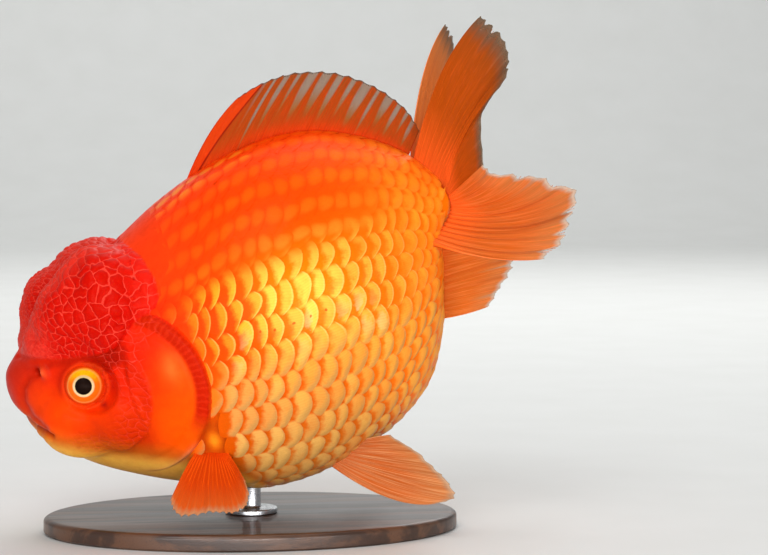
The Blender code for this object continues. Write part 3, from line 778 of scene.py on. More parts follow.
def makeSheet(side, core):
    # the body's surface laid out in columns and rows, for the scales to follow
    steps, along = columnPlaces()
    (frontX, frontZ), (rearX, rearZ) = coat["front"], coat["rear"]
    length = np.interp(coat["columns"], steps, along)
    lean = math.radians(coat["lean"])
    upward = Vector((math.sin(lean), 0, math.cos(lean)))
    pad, fine = coat["pad"], coat["samples"]
    rowSteps = np.arange(-pad * fine, (coat["rows"] + pad) * fine + 1) / fine
    turns = np.linspace(-0.5, math.pi + 0.5, 150)
    grid = []
    for column, distance in zip(steps, along):
        t = distance / length
        axis = Vector((frontX + (rearX - frontX) * t, 0, frontZ + (rearZ - frontZ) * t))
        ring = []
        for turn in turns:
            ray = Vector((0, side, 0)) * math.sin(turn) + upward * math.cos(turn)
            hit = core.ray_cast(axis + ray * 80, -ray)[0]
            ring.append(hit if hit else axis)
        ring = np.array(ring)
        lengths = np.concatenate([[0], np.cumsum(np.linalg.norm(np.diff(ring, axis=0), axis=1))])
        first, last = np.interp((0, math.pi), turns, lengths)
        slid = rowSteps + coat["slant"] * (column - coat["columns"] / 2)
        wanted = first + (last - first) * slid / coat["rows"]
        grid.append(np.stack([np.interp(wanted, lengths, ring[:, i]) for i in range(3)], 1))
    grid = np.array(grid)
    lieU = np.gradient(grid, axis=0)
    lieV = np.gradient(grid, axis=1)
    lie = np.cross(lieU, lieV) * side
    lie /= np.maximum(np.linalg.norm(lie, axis=2), 1e-6)[:, :, None]
    count, across = grid.shape[:2]
    mesh = bpy.data.meshes.new("sheet")
    faces = [(a * across + b, (a + 1) * across + b, (a + 1) * across + b + 1, a * across + b + 1)
             for a in range(count - 1) for b in range(across - 1)]
    mesh.from_pydata(grid.reshape(-1, 3).tolist(), [], faces)
    mesh.update()
    u = np.repeat(np.arange(count) / (count - 1), across)
    v = np.tile(np.arange(across) / (across - 1), count)
    corner = np.zeros(len(mesh.loops), np.int32)
    mesh.loops.foreach_get("vertex_index", corner)
    layer = mesh.uv_layers.new(name="lay")
    layer.data.foreach_set("uv", np.stack([u[corner], v[corner]], 1).astype(np.float32).ravel())
    flat = grid.reshape(-1, 3)
    storeVector(mesh, "lie", lie.reshape(-1, 3))
    storeFloat(mesh, "stand", scaleRelief(flat))
    storeFloat(mesh, "puff", pillow(flat))
    return meshObject("sheet", mesh=mesh)


def pillow(co):
    # 1 where each scale is a rounded cobble, 0 where it is a flat plate
    x, z = co[:, 0], co[:, 2]
    low = smoothStep(-5, -16, z)
    return 0.25 + 0.75 * np.maximum(low, smoothStep(26, 42, x) * 0.35)


oneScale = {
    "root": -1.15, "tip": 0.62, "half": 0.62, "tipCurve": 0.58,
    "rootHeight": -0.46, "tipHeight": 0.16, "rimDrop": 0.12, "dome": 0.5, "dip": 0.36,
    "along": (0.0, 0.3, 0.55, 0.78, 0.93, 1.0),
    "across": (-1.0, -0.9, -0.62, -0.32, 0.0, 0.32, 0.62, 0.9, 1.0),
}


def makeScale():
    # one closed scale in lattice units, its height in mm
    bm = bmesh.new()
    layer = bm.verts.layers.float.new("crown")
    uvs = {}
    grid = []
    for q in oneScale["along"]:
        row = []
        for p in oneScale["across"]:
            tip = oneScale["tip"] - oneScale["tipCurve"] * abs(p) ** 2.1
            root = oneScale["root"] + 0.15 * p * p
            width = oneScale["half"] * (0.7 + 0.3 * math.sin(min(1, q / 0.7) * math.pi / 2))
            edge = max(smoothStep(0.86, 1.0, q), smoothStep(0.86, 1.0, abs(p)))
            z = oneScale["rootHeight"] + (oneScale["tipHeight"] - oneScale["rootHeight"]) * q
            z -= oneScale["rimDrop"] * edge
            vert = bm.verts.new((root + (tip - root) * q, p * width, z))
            vert[layer] = (1 - p * p) * math.sin(math.pi * min(1.0, max(0.0, (q - 0.25) / 0.75)) ** 1.2)
            uvs[vert] = (p * 0.5 + 0.5, q)
            row.append(vert)
        grid.append(row)
    for a, b in zip(grid, grid[1:]):
        for j in range(len(a) - 1):
            bm.faces.new((a[j], b[j], b[j + 1], a[j + 1]))
    for a, b in zip(grid[1:], grid[2:-1]):
        bm.faces.new((a[0], a[-1], b[-1], b[0]))
    bm.faces.new([*grid[0], grid[1][-1], grid[1][0]])
    bm.faces.new([grid[-2][0], grid[-2][-1], *reversed(grid[-1])])
    # the rim shades sharp, so that the flat underside does not darken it
    rim = set(grid[0] + grid[-1] + [row[0] for row in grid] + [row[-1] for row in grid])
    for edge in bm.edges:
        if edge.verts[0] in rim and edge.verts[1] in rim:
            edge.smooth = False
    uvLayer = bm.loops.layers.uv.new("ScaleUV")
    for face in bm.faces:
        for loop in face.loops:
            loop[uvLayer].uv = uvs[loop.vert]
    obj = meshObject("oneScale", bm)
    obj.hide_render = True
    return obj


def scaleRoots(side):
    # lattice places of the scales of one side, left out where the skin is bare
    core = coreTree()
    sheet = makeSheet(side, core)
    flat = places(sheet.data)
    pad, fine = coat["pad"], coat["samples"]
    across = (coat["rows"] + 2 * pad) * fine + 1
    grid = flat.reshape(-1, across, 3)
    verts, pores = [], []
    for row in range(-2, coat["rows"] + 2):
        for column in range(coat["columns"]):
            u, v = column + 0.5 * (row % 2), row + 0.5
            spot = grid[int(round((u + pad) * fine)), int(round((v + pad) * fine))][None]
            inside, _, _ = gillEdge(spot)
            x, z = spot[0, 0], spot[0, 2]
            border = np.interp(x, palePart["x"], palePart["z"])
            hidden = inside[0] > 1.5 and x < -18
            hidden = hidden or hoodOver(spot)[0] > -0.6 or x < -31 or (x < -22 and z > 27)
            hidden = hidden or (z < border + 3 and x < -19) or x > 59 or spot[0, 1] * side < -0.6
            hidden = hidden or math.hypot(x + 25.2, z + 24.4) < 4.4
            if not hidden:
                verts.append((u, v, 0))
                pores.append(1.0 if row == 8 and 8 <= column <= 12 else 0.0)
    mesh = bpy.data.meshes.new("roots")
    mesh.from_pydata(verts, [], [])
    storeFloat(mesh, "pore", pores)
    return meshObject("roots", mesh=mesh), sheet


def scaleTree():
    tree, start, end, ids = newTree("scaleCoat", {
        "Scale": "Object", "Sheet": "Object", "Columns": "Float", "Rows": "Float", "Margin": "Float",
        "Dome": "Float", "Patch": "Float", "Seed": "Int", "Finish": "Material"})
    place = addNode(tree, "GeometryNodeInputPosition").outputs[0]
    stored = addNode(tree, "GeometryNodeStoreNamedAttribute", {
        "Geometry": start.outputs["Geometry"], "Name": "root", "Value": place}, data_type="FLOAT_VECTOR")
    chance = addNode(tree, "FunctionNodeRandomValue", {2: 0.0, 3: 1.0, "Seed": start.outputs["Seed"]},
                     data_type="FLOAT").outputs[1]
    stored = addNode(tree, "GeometryNodeStoreNamedAttribute", {
        "Geometry": stored.outputs[0], "Name": "chance", "Value": chance}, data_type="FLOAT")
    shape = addNode(tree, "GeometryNodeObjectInfo", {"Object": start.outputs["Scale"]}).outputs["Geometry"]
    swing = addNode(tree, "FunctionNodeRandomValue", {
        0: (0, 0, -0.1), 1: (0, 0, 0.1), "Seed": start.outputs["Seed"]}, data_type="FLOAT_VECTOR").outputs[0]
    size = addNode(tree, "FunctionNodeRandomValue", {
        0: (0.9, 0.92, 0.8), 1: (1.1, 1.06, 1.2), "Seed": start.outputs["Seed"]},
        data_type="FLOAT_VECTOR").outputs[0]
    laid = addNode(tree, "GeometryNodeInstanceOnPoints", {
        "Points": stored.outputs[0], "Instance": shape, "Rotation": swing, "Scale": size})
    loose = addNode(tree, "GeometryNodeRealizeInstances", {0: laid.outputs[0]}).outputs[0]

    def normalised(vector):
        parts = addNode(tree, "ShaderNodeSeparateXYZ", {0: vector})
        margin = start.outputs["Margin"]
        found = []
        for i, count in ((0, "Columns"), (1, "Rows")):
            whole = sums(tree, "ADD", start.outputs[count], sums(tree, "MULTIPLY", margin, 2.0))
            found.append(sums(tree, "DIVIDE", sums(tree, "ADD", parts.outputs[i], margin), whole))
        made = addNode(tree, "ShaderNodeCombineXYZ", {0: found[0], 1: found[1]})
        return made.outputs[0], parts.outputs[2]

    root = named(tree, "root", "FLOAT_VECTOR")
    rootAt, _ = normalised(root)
    local = vectorSums(tree, "SUBTRACT", place, root)
    patch = addNode(tree, "ShaderNodeVectorMath", {0: local, "Scale": start.outputs["Patch"]},
                    operation="SCALE").outputs[0]
    mapped = addNode(tree, "GeometryNodeStoreNamedAttribute", {
        "Geometry": loose, "Name": "OFBake", "Value": vectorSums(tree, "ADD", rootAt, patch)},
        data_type="FLOAT2", domain="CORNER").outputs[0]

    # the rows wander a little
    drift = addNode(tree, "ShaderNodeTexNoise", {"Vector": place, "Scale": 0.45, "Detail": 1.0}).outputs[1]
    drift = vectorSums(tree, "MULTIPLY", vectorSums(tree, "SUBTRACT", drift, (0.5, 0.5, 0.5)), (0.7, 0.7, 0.0))
    at, height = normalised(vectorSums(tree, "ADD", place, drift))
    sheet = addNode(tree, "GeometryNodeObjectInfo", {"Object": start.outputs["Sheet"]}).outputs["Geometry"]
    lay = named(tree, "lay", "FLOAT_VECTOR")

    def sampled(value, kind):
        node = addNode(tree, "GeometryNodeSampleUVSurface", data_type=kind)
        tree.links.new(sheet, node.inputs["Mesh"])
        tree.links.new(value, node.inputs["Value"])
        tree.links.new(lay, node.inputs["Source UV Map"])
        tree.links.new(at, node.inputs["Sample UV"])
        return node.outputs[0]

    surface = sampled(addNode(tree, "GeometryNodeInputPosition").outputs[0], "FLOAT_VECTOR")
    lie = sampled(named(tree, "lie", "FLOAT_VECTOR"), "FLOAT_VECTOR")
    stand = sampled(named(tree, "stand"), "FLOAT")
    puff = sampled(named(tree, "puff"), "FLOAT")
    dome = sums(tree, "MULTIPLY", sums(tree, "MULTIPLY", named(tree, "crown"), puff), start.outputs["Dome"])
    rise = sums(tree, "MULTIPLY", sums(tree, "ADD", height, dome), stand)
    # flat-lying scales still dip at the root, or they would cut into each other
    dip = sums(tree, "SUBTRACT", height, oneScale["tipHeight"])
    dip = sums(tree, "MULTIPLY", dip, sums(tree, "MULTIPLY_ADD", stand, -oneScale["dip"], oneScale["dip"]))
    rise = sums(tree, "ADD", rise, dip)
    lifted = addNode(tree, "ShaderNodeVectorMath", {0: lie, "Scale": rise}, operation="SCALE").outputs[0]
    moved = addNode(tree, "GeometryNodeSetPosition", {
        "Geometry": mapped, "Position": vectorSums(tree, "ADD", surface, lifted)})
    closeTree(tree, start, end, moved.outputs[0])
    return tree, ids


def makeScales(finish):
    tree, ids = scaleTree()
    shape = makeScale()
    made = []
    for word, side in (("left", -1), ("right", 1)):
        roots, sheet = scaleRoots(side)
        addTree(roots, tree, ids, {
            "Scale": shape, "Sheet": sheet, "Columns": float(coat["columns"]), "Rows": float(coat["rows"]),
            "Margin": float(coat["pad"]), "Dome": oneScale["dome"], "Patch": 0.003 / 1.75, "Seed": coat["seed"], "Finish": finish})
        scales = settled(roots, "scales_" + word)
        mesh = scales.data
        co = places(mesh)
        bpy.data.objects.remove(sheet)
        deep, crown = paint(co)
        nearGill = smoothStep(-6.5, -1.5, gillEdge(co)[0]) * smoothStep(8, 2, co[:, 2])
        crown = blend(crown, coat["nearGill"], nearGill * 0.85)
        storeColour(mesh, "tone", deep)
        storeColour(mesh, "crownTone", crown)
        storeFloat(mesh, "puff", pillow(co))
        storeFloat(mesh, "stand", scaleRelief(co))
        pearly = hump(-8, 6.0, co[:, 2]) * smoothStep(-16, -6, co[:, 0]) * smoothStep(34, 20, co[:, 0])
        storeFloat(mesh, "pearl", pearly)
        # painted glow round the gold heart
        storeFloat(mesh, "glow", hump(0, 11.0, np.hypot(co[:, 0] - 9.5, co[:, 2] - 2.5)))
        if side < 0:
            mesh.flip_normals()  # the lattice is laid mirrored on this side
        made.append(finishPiece(scales))
        print("scales", word, len(mesh.polygons), "faces")
    bpy.data.objects.remove(shape)
    return made


def scaleFinish():
    made, tree, shader = newMaterial("fish_scales")
    uv = addNode(tree, "ShaderNodeUVMap", uv_map="ScaleUV").outputs[0]
    parts = addNode(tree, "ShaderNodeSeparateXYZ", {0: uv})
    p = sums(tree, "MULTIPLY_ADD", parts.outputs[0], 2.0, -1.0)
    place = objectPlace(tree)
    puff, stand, chance = attribute(tree, "puff"), attribute(tree, "stand"), attribute(tree, "chance")
    deep, crownTone = attribute(tree, "tone", "Color"), attribute(tree, "crownTone", "Color")
    wave = speckle(tree, place, 900.0, 3.0, 0.6)
    broad = speckle(tree, place, 300.0, 3.0, 0.65)
    unrest = sums(tree, "MULTIPLY_ADD", broad, 0.4, sums(tree, "MULTIPLY_ADD", wave, 0.2, -0.3))
    # painted glow: the crescents widen round the gold heart
    glow = sums(tree, "MULTIPLY", attribute(tree, "glow"), 0.17)
    q = sums(tree, "ADD", sums(tree, "ADD", parts.outputs[1], glow), unrest)
    p2 = sums(tree, "MULTIPLY", p, p)
    # flat plates carry a bright crescent, wide above and thin below
    crescentFrom = sums(tree, "MULTIPLY_ADD", p, 0.17, 0.73)
    crescent = ramp(tree, sums(tree, "SUBTRACT", q, crescentFrom), -0.15, 0.15)
    crescent = sums(tree, "MULTIPLY", crescent, ramp(tree, p2, 1.0, 0.5))
    # where the skin all but covers them only a soft dot shows
    calm = sums(tree, "MULTIPLY_ADD", unrest, 0.35, parts.outputs[1])
    fromDot = sums(tree, "POWER", sums(tree, "MULTIPLY_ADD", calm, 2.8, -1.88), 2.0)
    dot = ramp(tree, sums(tree, "MULTIPLY_ADD", p2, 2.6, fromDot), 1.0, 0.0, 0.0, 0.7)
    # cobbles and pearls are pale in the middle
    fromMiddle = sums(tree, "POWER", sums(tree, "MULTIPLY_ADD", q, 3.2, -2.34), 2.0)
    fromMiddle = sums(tree, "MULTIPLY_ADD", p2, 1.2, fromMiddle)
    cobble = sums(tree, "MULTIPLY", ramp(tree, q, 0.42, 0.68), ramp(tree, p2, 1.0, 0.6))
    cobbly = ramp(tree, puff, 0.3, 0.7)
    flat = addNode(tree, "ShaderNodeMix", {0: ramp(tree, stand, 0.24, 0.5), 2: dot, 3: crescent}).outputs[0]
    lit = addNode(tree, "ShaderNodeMix", {0: cobbly, 2: flat, 3: cobble}).outputs[0]
    lit = sums(tree, "MULTIPLY", lit, ramp(tree, chance, 0.0, 1.0, 0.66, 1.0))
    lit = sums(tree, "MULTIPLY", lit, ramp(tree, broad, 0.3, 0.5, 0.8, 1.0))
    lit = sums(tree, "MULTIPLY", lit, ramp(tree, stand, 0.15, 0.5, 0.7, 1.0))
    base = mixColours(tree, lit, deep, crownTone)
    # a darker seam round each cobble
    # painted shade round the rim of each cobble, in the groove colour
    shade = sums(tree, "MAXIMUM", ramp(tree, parts.outputs[1], 0.9, 1.0), ramp(tree, p2, 0.72, 1.0))
    base = mixColours(tree, sums(tree, "MULTIPLY", sums(tree, "MULTIPLY", shade, cobbly), 0.6), base, deep)
    # painted shade, olive, on the lower rear of each cobble
    cobbleShade = ramp(tree, sums(tree, "MULTIPLY_ADD", p, 0.25, q), 0.72, 1.02, 0.0, 0.6)
    cobbleShade = sums(tree, "MULTIPLY", sums(tree, "MULTIPLY", cobbleShade, cobble), ramp(tree, puff, 0.4, 0.9))
    base = mixColours(tree, cobbleShade, base, tone(184, 142, 80))
    pearl = sums(tree, "MULTIPLY_ADD", wave, 1.2, sums(tree, "ADD", fromMiddle, -0.6))
    pearl = sums(tree, "MULTIPLY", ramp(tree, pearl, 0.6, 0.1), attribute(tree, "pearl"))
    pearl = sums(tree, "MULTIPLY", pearl, ramp(tree, chance, 0.45, 0.95, 0.05, 0.8))
    base = mixColours(tree, pearl, base, tone(250, 214, 144))
    # a painted highlight along each scale's rear edge, faint on cobbles
    edge = sums(tree, "MULTIPLY", hollow(tree, parts.outputs[1], 0.96, 0.05), ramp(tree, p2, 1.0, 0.7))
    edge = sums(tree, "MULTIPLY", edge, sums(tree, "MULTIPLY_ADD", cobbly, -0.7, 1.0))
    edge = sums(tree, "MULTIPLY", edge, ramp(tree, stand, 0.3, 0.7))
    base = mixColours(tree, sums(tree, "MULTIPLY", sums(tree, "MULTIPLY", edge, stand), 0.5), base,
                      mixColours(tree, 0.35, crownTone, tone(255, 236, 170)))
    pore = sums(tree, "POWER", sums(tree, "SUBTRACT", parts.outputs[1], 0.66), 2.0)
    pore = sums(tree, "MULTIPLY_ADD", pore, 4.4, sums(tree, "MULTIPLY", p2, 1.8))
    pore = sums(tree, "MULTIPLY", ramp(tree, pore, 0.016, 0.006), attribute(tree, "pore"))
    base = mixColours(tree, sums(tree, "MULTIPLY", pore, 0.75), base, tone(200, 60, 4))
    # fine growth lines and radii
    rings = sums(tree, "SINE", sums(tree, "MULTIPLY", q, 95.0))
    radii = sums(tree, "SINE", sums(tree, "MULTIPLY", p, 40.0))
    lines = sums(tree, "ADD", sums(tree, "MULTIPLY", rings, 0.4), radii)
    base = mixColours(tree, sums(tree, "MULTIPLY", ramp(tree, lines, -1.4, 1.4, 0.0, 0.14), stand), base,
                      tone(214, 84, 8))
    height = sums(tree, "ADD", sums(tree, "MULTIPLY", lines, 0.05), sums(tree, "MULTIPLY", wave, 0.8))
    tree.links.new(bump(tree, height, 0.00025, 0.5), shader.inputs["Normal"])
    tree.links.new(base, shader.inputs["Base Color"])
    tree.links.new(ramp(tree, wave, 0.3, 0.7, 0.3, 0.44), shader.inputs["Roughness"])
    gloss(shader, 0.08, 0.02, 0.25)
    return made


# ---- the eyes


eye = {
    "out": 18.2, "radius": 5.6, "bulge": 0.35,
    "opening": 4.85, "pupil": 2.2, "cream": 2.8, "iris": 4.9,
    "turn": (-0.107, 0.1),  # how far it looks ahead and up
}


def makeEyes(finish):
    made = []
    for word, side in (("left", -1), ("right", 1)):
        bm = bmesh.new()
        bmesh.ops.create_uvsphere(bm, u_segments=64, v_segments=40, radius=1.0)
        gaze = Vector((eye["turn"][0], side, eye["turn"][1])).normalized()
        turn = gaze.to_track_quat("Z", "Y").to_matrix().to_4x4()
        centre = Vector((pose["eyeX"], eye["out"] * side, pose["eyeZ"]))
        for vert in bm.verts:
            polar = math.acos(max(-1, min(1, vert.co.z)))
            vert.co *= eye["radius"] + eye["bulge"] * math.exp(-((polar / 0.62) ** 2))
        flat = {vert: (vert.co.x, vert.co.y) if vert.co.z > 0 else (9.0, 0.0) for vert in bm.verts}
        bm.transform(Matrix.Translation(centre) @ turn)
        inverse = turn.inverted()
        layer = bm.loops.layers.uv.new("EyeUV")
        for face in bm.faces:
            for loop in face.loops:
                spot = inverse @ (loop.vert.co - centre)
                loop[layer].uv = (spot.x, spot.y) if spot.z > 0 else (9.0, 0.0)
        obj = meshObject("eye_ball_" + word, bm)
        up = inverse @ Vector((0.35, 0, 1))
        storeFloat(obj.data, "upper", np.array([(inverse @ (v.co - centre)).dot(up) / 6 for v in obj.data.vertices]))
        obj.data.materials.append(finish)
        made.append(finishPiece(obj, ["eye_" + word]))
    return made


def eyeFinish():
    made, tree, shader = newMaterial("fish_eye")
    uv = addNode(tree, "ShaderNodeUVMap", uv_map="EyeUV").outputs[0]
    away = addNode(tree, "ShaderNodeVectorMath", {0: uv}, operation="LENGTH").outputs["Value"]
    place = objectPlace(tree)
    fleck = speckle(tree, place, 1800.0, 4.0, 0.7)
    upper = attribute(tree, "upper")
    away = sums(tree, "ADD", away, sums(tree, "MULTIPLY", sums(tree, "SUBTRACT", fleck, 0.5), 0.12))
    # painted highlight: the gold brightens towards the top; the cream is darker towards the top
    gold = mixColours(tree, ramp(tree, upper, 0.1, 0.75), tone(244, 108, 16), tone(255, 186, 12))
    gold = mixColours(tree, ramp(tree, fleck, 0.45, 0.75, 0.0, 0.5), gold, tone(214, 84, 6))
    cream = mixColours(tree, ramp(tree, upper, 0.0, 0.6), tone(232, 200, 150), tone(206, 176, 118))
    base = mixColours(tree, ramp(tree, away, eye["cream"] - 0.16, eye["cream"] + 0.2), cream, gold)
    ring = hollow(tree, away, 4.35, 0.42)
    base = mixColours(tree, sums(tree, "MULTIPLY", ring, 0.5), base, tone(250, 170, 96))
    base = mixColours(tree, ramp(tree, away, eye["iris"] - 0.75, eye["iris"]), base, tone(226, 60, 6))
    base = mixColours(tree, ramp(tree, away, eye["pupil"] - 0.07, eye["pupil"] + 0.1), tone(12, 6, 6), base)
    tree.links.new(base, shader.inputs["Base Color"])
    shader.inputs["Roughness"].default_value = 0.5
    gloss(shader, 0.08, 0.03, 0.3)
    return made


def hollow(tree, value, centre, width):
    # 1 on a ring at the centre value, falling to 0 a width away
    away = sums(tree, "ABSOLUTE", sums(tree, "SUBTRACT", value, centre))
    return ramp(tree, away, width, 0.0)


# ---- the fins


# key rays: root x, y, z, tip x, y, z, bow to the back
finRays = {
    "dorsal_fin": [
        (-9.5, 0.0, 36.5, 14.0, 0.0, 56.0, 2.4),
        (0.0, 0.0, 39.0, 21.0, 0.0, 57.4, 1.0),
        (12.0, 0.0, 40.5, 30.5, 0.0, 57.0, 0.8),
        (25.0, 0.0, 39.0, 40.8, 0.0, 53.2, 0.6),
        (36.0, 0.0, 34.8, 49.4, 0.0, 46.3, 0.4),
        (45.0, 0.0, 29.0, 55.2, 0.0, 38.0, 0.2),
        (50.5, 0.0, 24.5, 56.9, 0.0, 30.8, 0.0),
    ],
    "tail_upper_left": [
        (51.0, -1.6, 21.0, 79.4, -22.0, 54.8, 5.0),
        (53.5, -2.6, 18.5, 82.3, -24.0, 49.5, 2.4),
        (55.5, -3.4, 16.5, 82.2, -25.0, 42.0, 2.4),
        (56.8, -3.8, 14.6, 79.2, -24.0, 36.8, 2.8),
        (57.4, -4.2, 13.0, 72.2, -15.5, 30.2, 1.8),
        (57.8, -4.4, 11.5, 67.8, -15.0, 17.2, 0.0),
    ],
    "tail_lower_left": [
        (57.8, -4.4, 11.5, 67.8, -15.0, 17.2, 0.0),
        (57.8, -4.6, 10.0, 70.6, -18.5, 13.8, -1.4),
        (57.2, -4.8, 8.4, 79.2, -28.0, 10.2, -3.2),
        (55.8, -5.6, 6.6, 85.6, -33.0, 4.4, -3.4),
        (53.2, -9.0, 5.0, 82.0, -36.0, -2.0, -2.8),
        (50.2, -12.6, 3.6, 77.4, -36.0, -6.8, -2.2),
        (47.4, -16.6, 2.6, 71.8, -34.0, -9.8, -2.0),
    ],
    "tail_upper_right": [
        (51.0, 1.6, 21.0, 77.5, 24.5, 54.6, 5.0),
        (53.5, 2.6, 18.5, 79.0, 29.0, 51.0, 2.4),
        (55.5, 3.4, 16.5, 77.5, 33.0, 45.0, 0.8),
        (56.8, 3.8, 14.6, 73.0, 33.0, 39.0, 0.0),
        (57.4, 4.0, 13.0, 68.5, 29.0, 32.0, -0.6),
        (57.8, 4.0, 11.5, 65.2, 23.0, 18.6, 0.0),
    ],
    "tail_lower_right": [
        (57.8, 4.0, 11.5, 65.2, 23.0, 18.6, 0.0),
        (57.8, 4.0, 10.0, 67.5, 27.0, 13.5, -1.2),
        (57.4, 4.0, 8.4, 73.5, 34.0, 8.0, -2.4),
        (56.5, 3.8, 6.8, 78.5, 39.0, 1.5, -2.6),
        (55.0, 3.6, 5.2, 77.0, 41.0, -4.5, -2.2),
        (52.8, 3.2, 3.6, 72.5, 40.0, -8.5, -0.8),
        (50.0, 2.6, 2.0, 67.0, 36.0, -10.5, -2.0),
    ],
    "anal_fin_left": [
        (40.0, -3.6, -17.5, 57.6, -8.5, -19.8, -0.8),
        (41.5, -3.6, -14.0, 62.0, -9.5, -16.2, -0.2),
        (43.0, -3.6, -10.6, 66.8, -10.5, -12.0, 0.2),
        (44.0, -3.6, -7.4, 67.4, -10.5, -8.6, 0.4),
        (48.6, -3.6, -0.2, 63.0, -9.5, -4.6, 0.2),
    ],
    "pectoral_fin_left": [
        (-26.4, -19.5, -24.2, -41.2, -29.5, -35.0, 0.8),
        (-25.8, -19.5, -24.8, -40.4, -32.0, -39.0, 0.4),
        (-25.2, -19.5, -25.4, -33.4, -35.0, -40.4, 0.0),
        (-24.6, -19.5, -26.0, -27.6, -36.5, -42.4, 0.0),
        (-24.0, -19.5, -26.4, -22.8, -36.0, -42.0, 0.0),
        (-23.4, -19.5, -26.8, -21.2, -33.0, -36.6, 0.6),
    ],
    "pectoral_fin_right": [
        (-26.4, 19.5, -24.2, -24.5, 38.5, -20.0, 0.6),
        (-25.8, 19.5, -24.8, -19.0, 41.0, -22.5, 0.4),
        (-25.2, 19.5, -25.4, -15.0, 41.0, -26.5, 0.0),
        (-24.6, 19.5, -26.0, -13.5, 39.5, -31.0, 0.0),
        (-24.0, 19.5, -26.4, -15.0, 36.5, -34.5, 0.0),
        (-23.4, 19.5, -26.8, -18.0, 32.5, -35.0, -0.6),
    ],
    "pelvic_fin_left": [
        (1.0, -9.0, -42.2, 24.2, -28.5, -61.0, -4.6),
        (2.8, -9.4, -42.0, 29.0, -31.5, -60.4, -2.0),
        (4.6, -9.8, -41.8, 27.4, -31.0, -53.8, -0.6),
        (6.4, -10.2, -41.4, 23.6, -28.0, -46.4, 0.2),
        (8.0, -10.6, -41.0, 19.0, -23.5, -40.4, 0.4),
    ],
    "pelvic_fin_right": [
        (1.0, 9.0, -42.2, 20.0, 27.0, -47.5, -1.5),
        (2.8, 9.4, -42.0, 25.5, 31.0, -44.5, -0.8),
        (4.6, 9.8, -41.8, 27.0, 33.5, -40.0, 0.0),
        (6.4, 10.2, -41.4, 25.0, 33.5, -36.0, 0.4),
        (8.0, 10.6, -41.0, 21.0, 32.0, -34.0, 0.6),
    ],
}
finRays["anal_fin_right"] = [(a, -b, c, d, -e, f, g) for a, b, c, d, e, f, g in finRays["anal_fin_left"]]

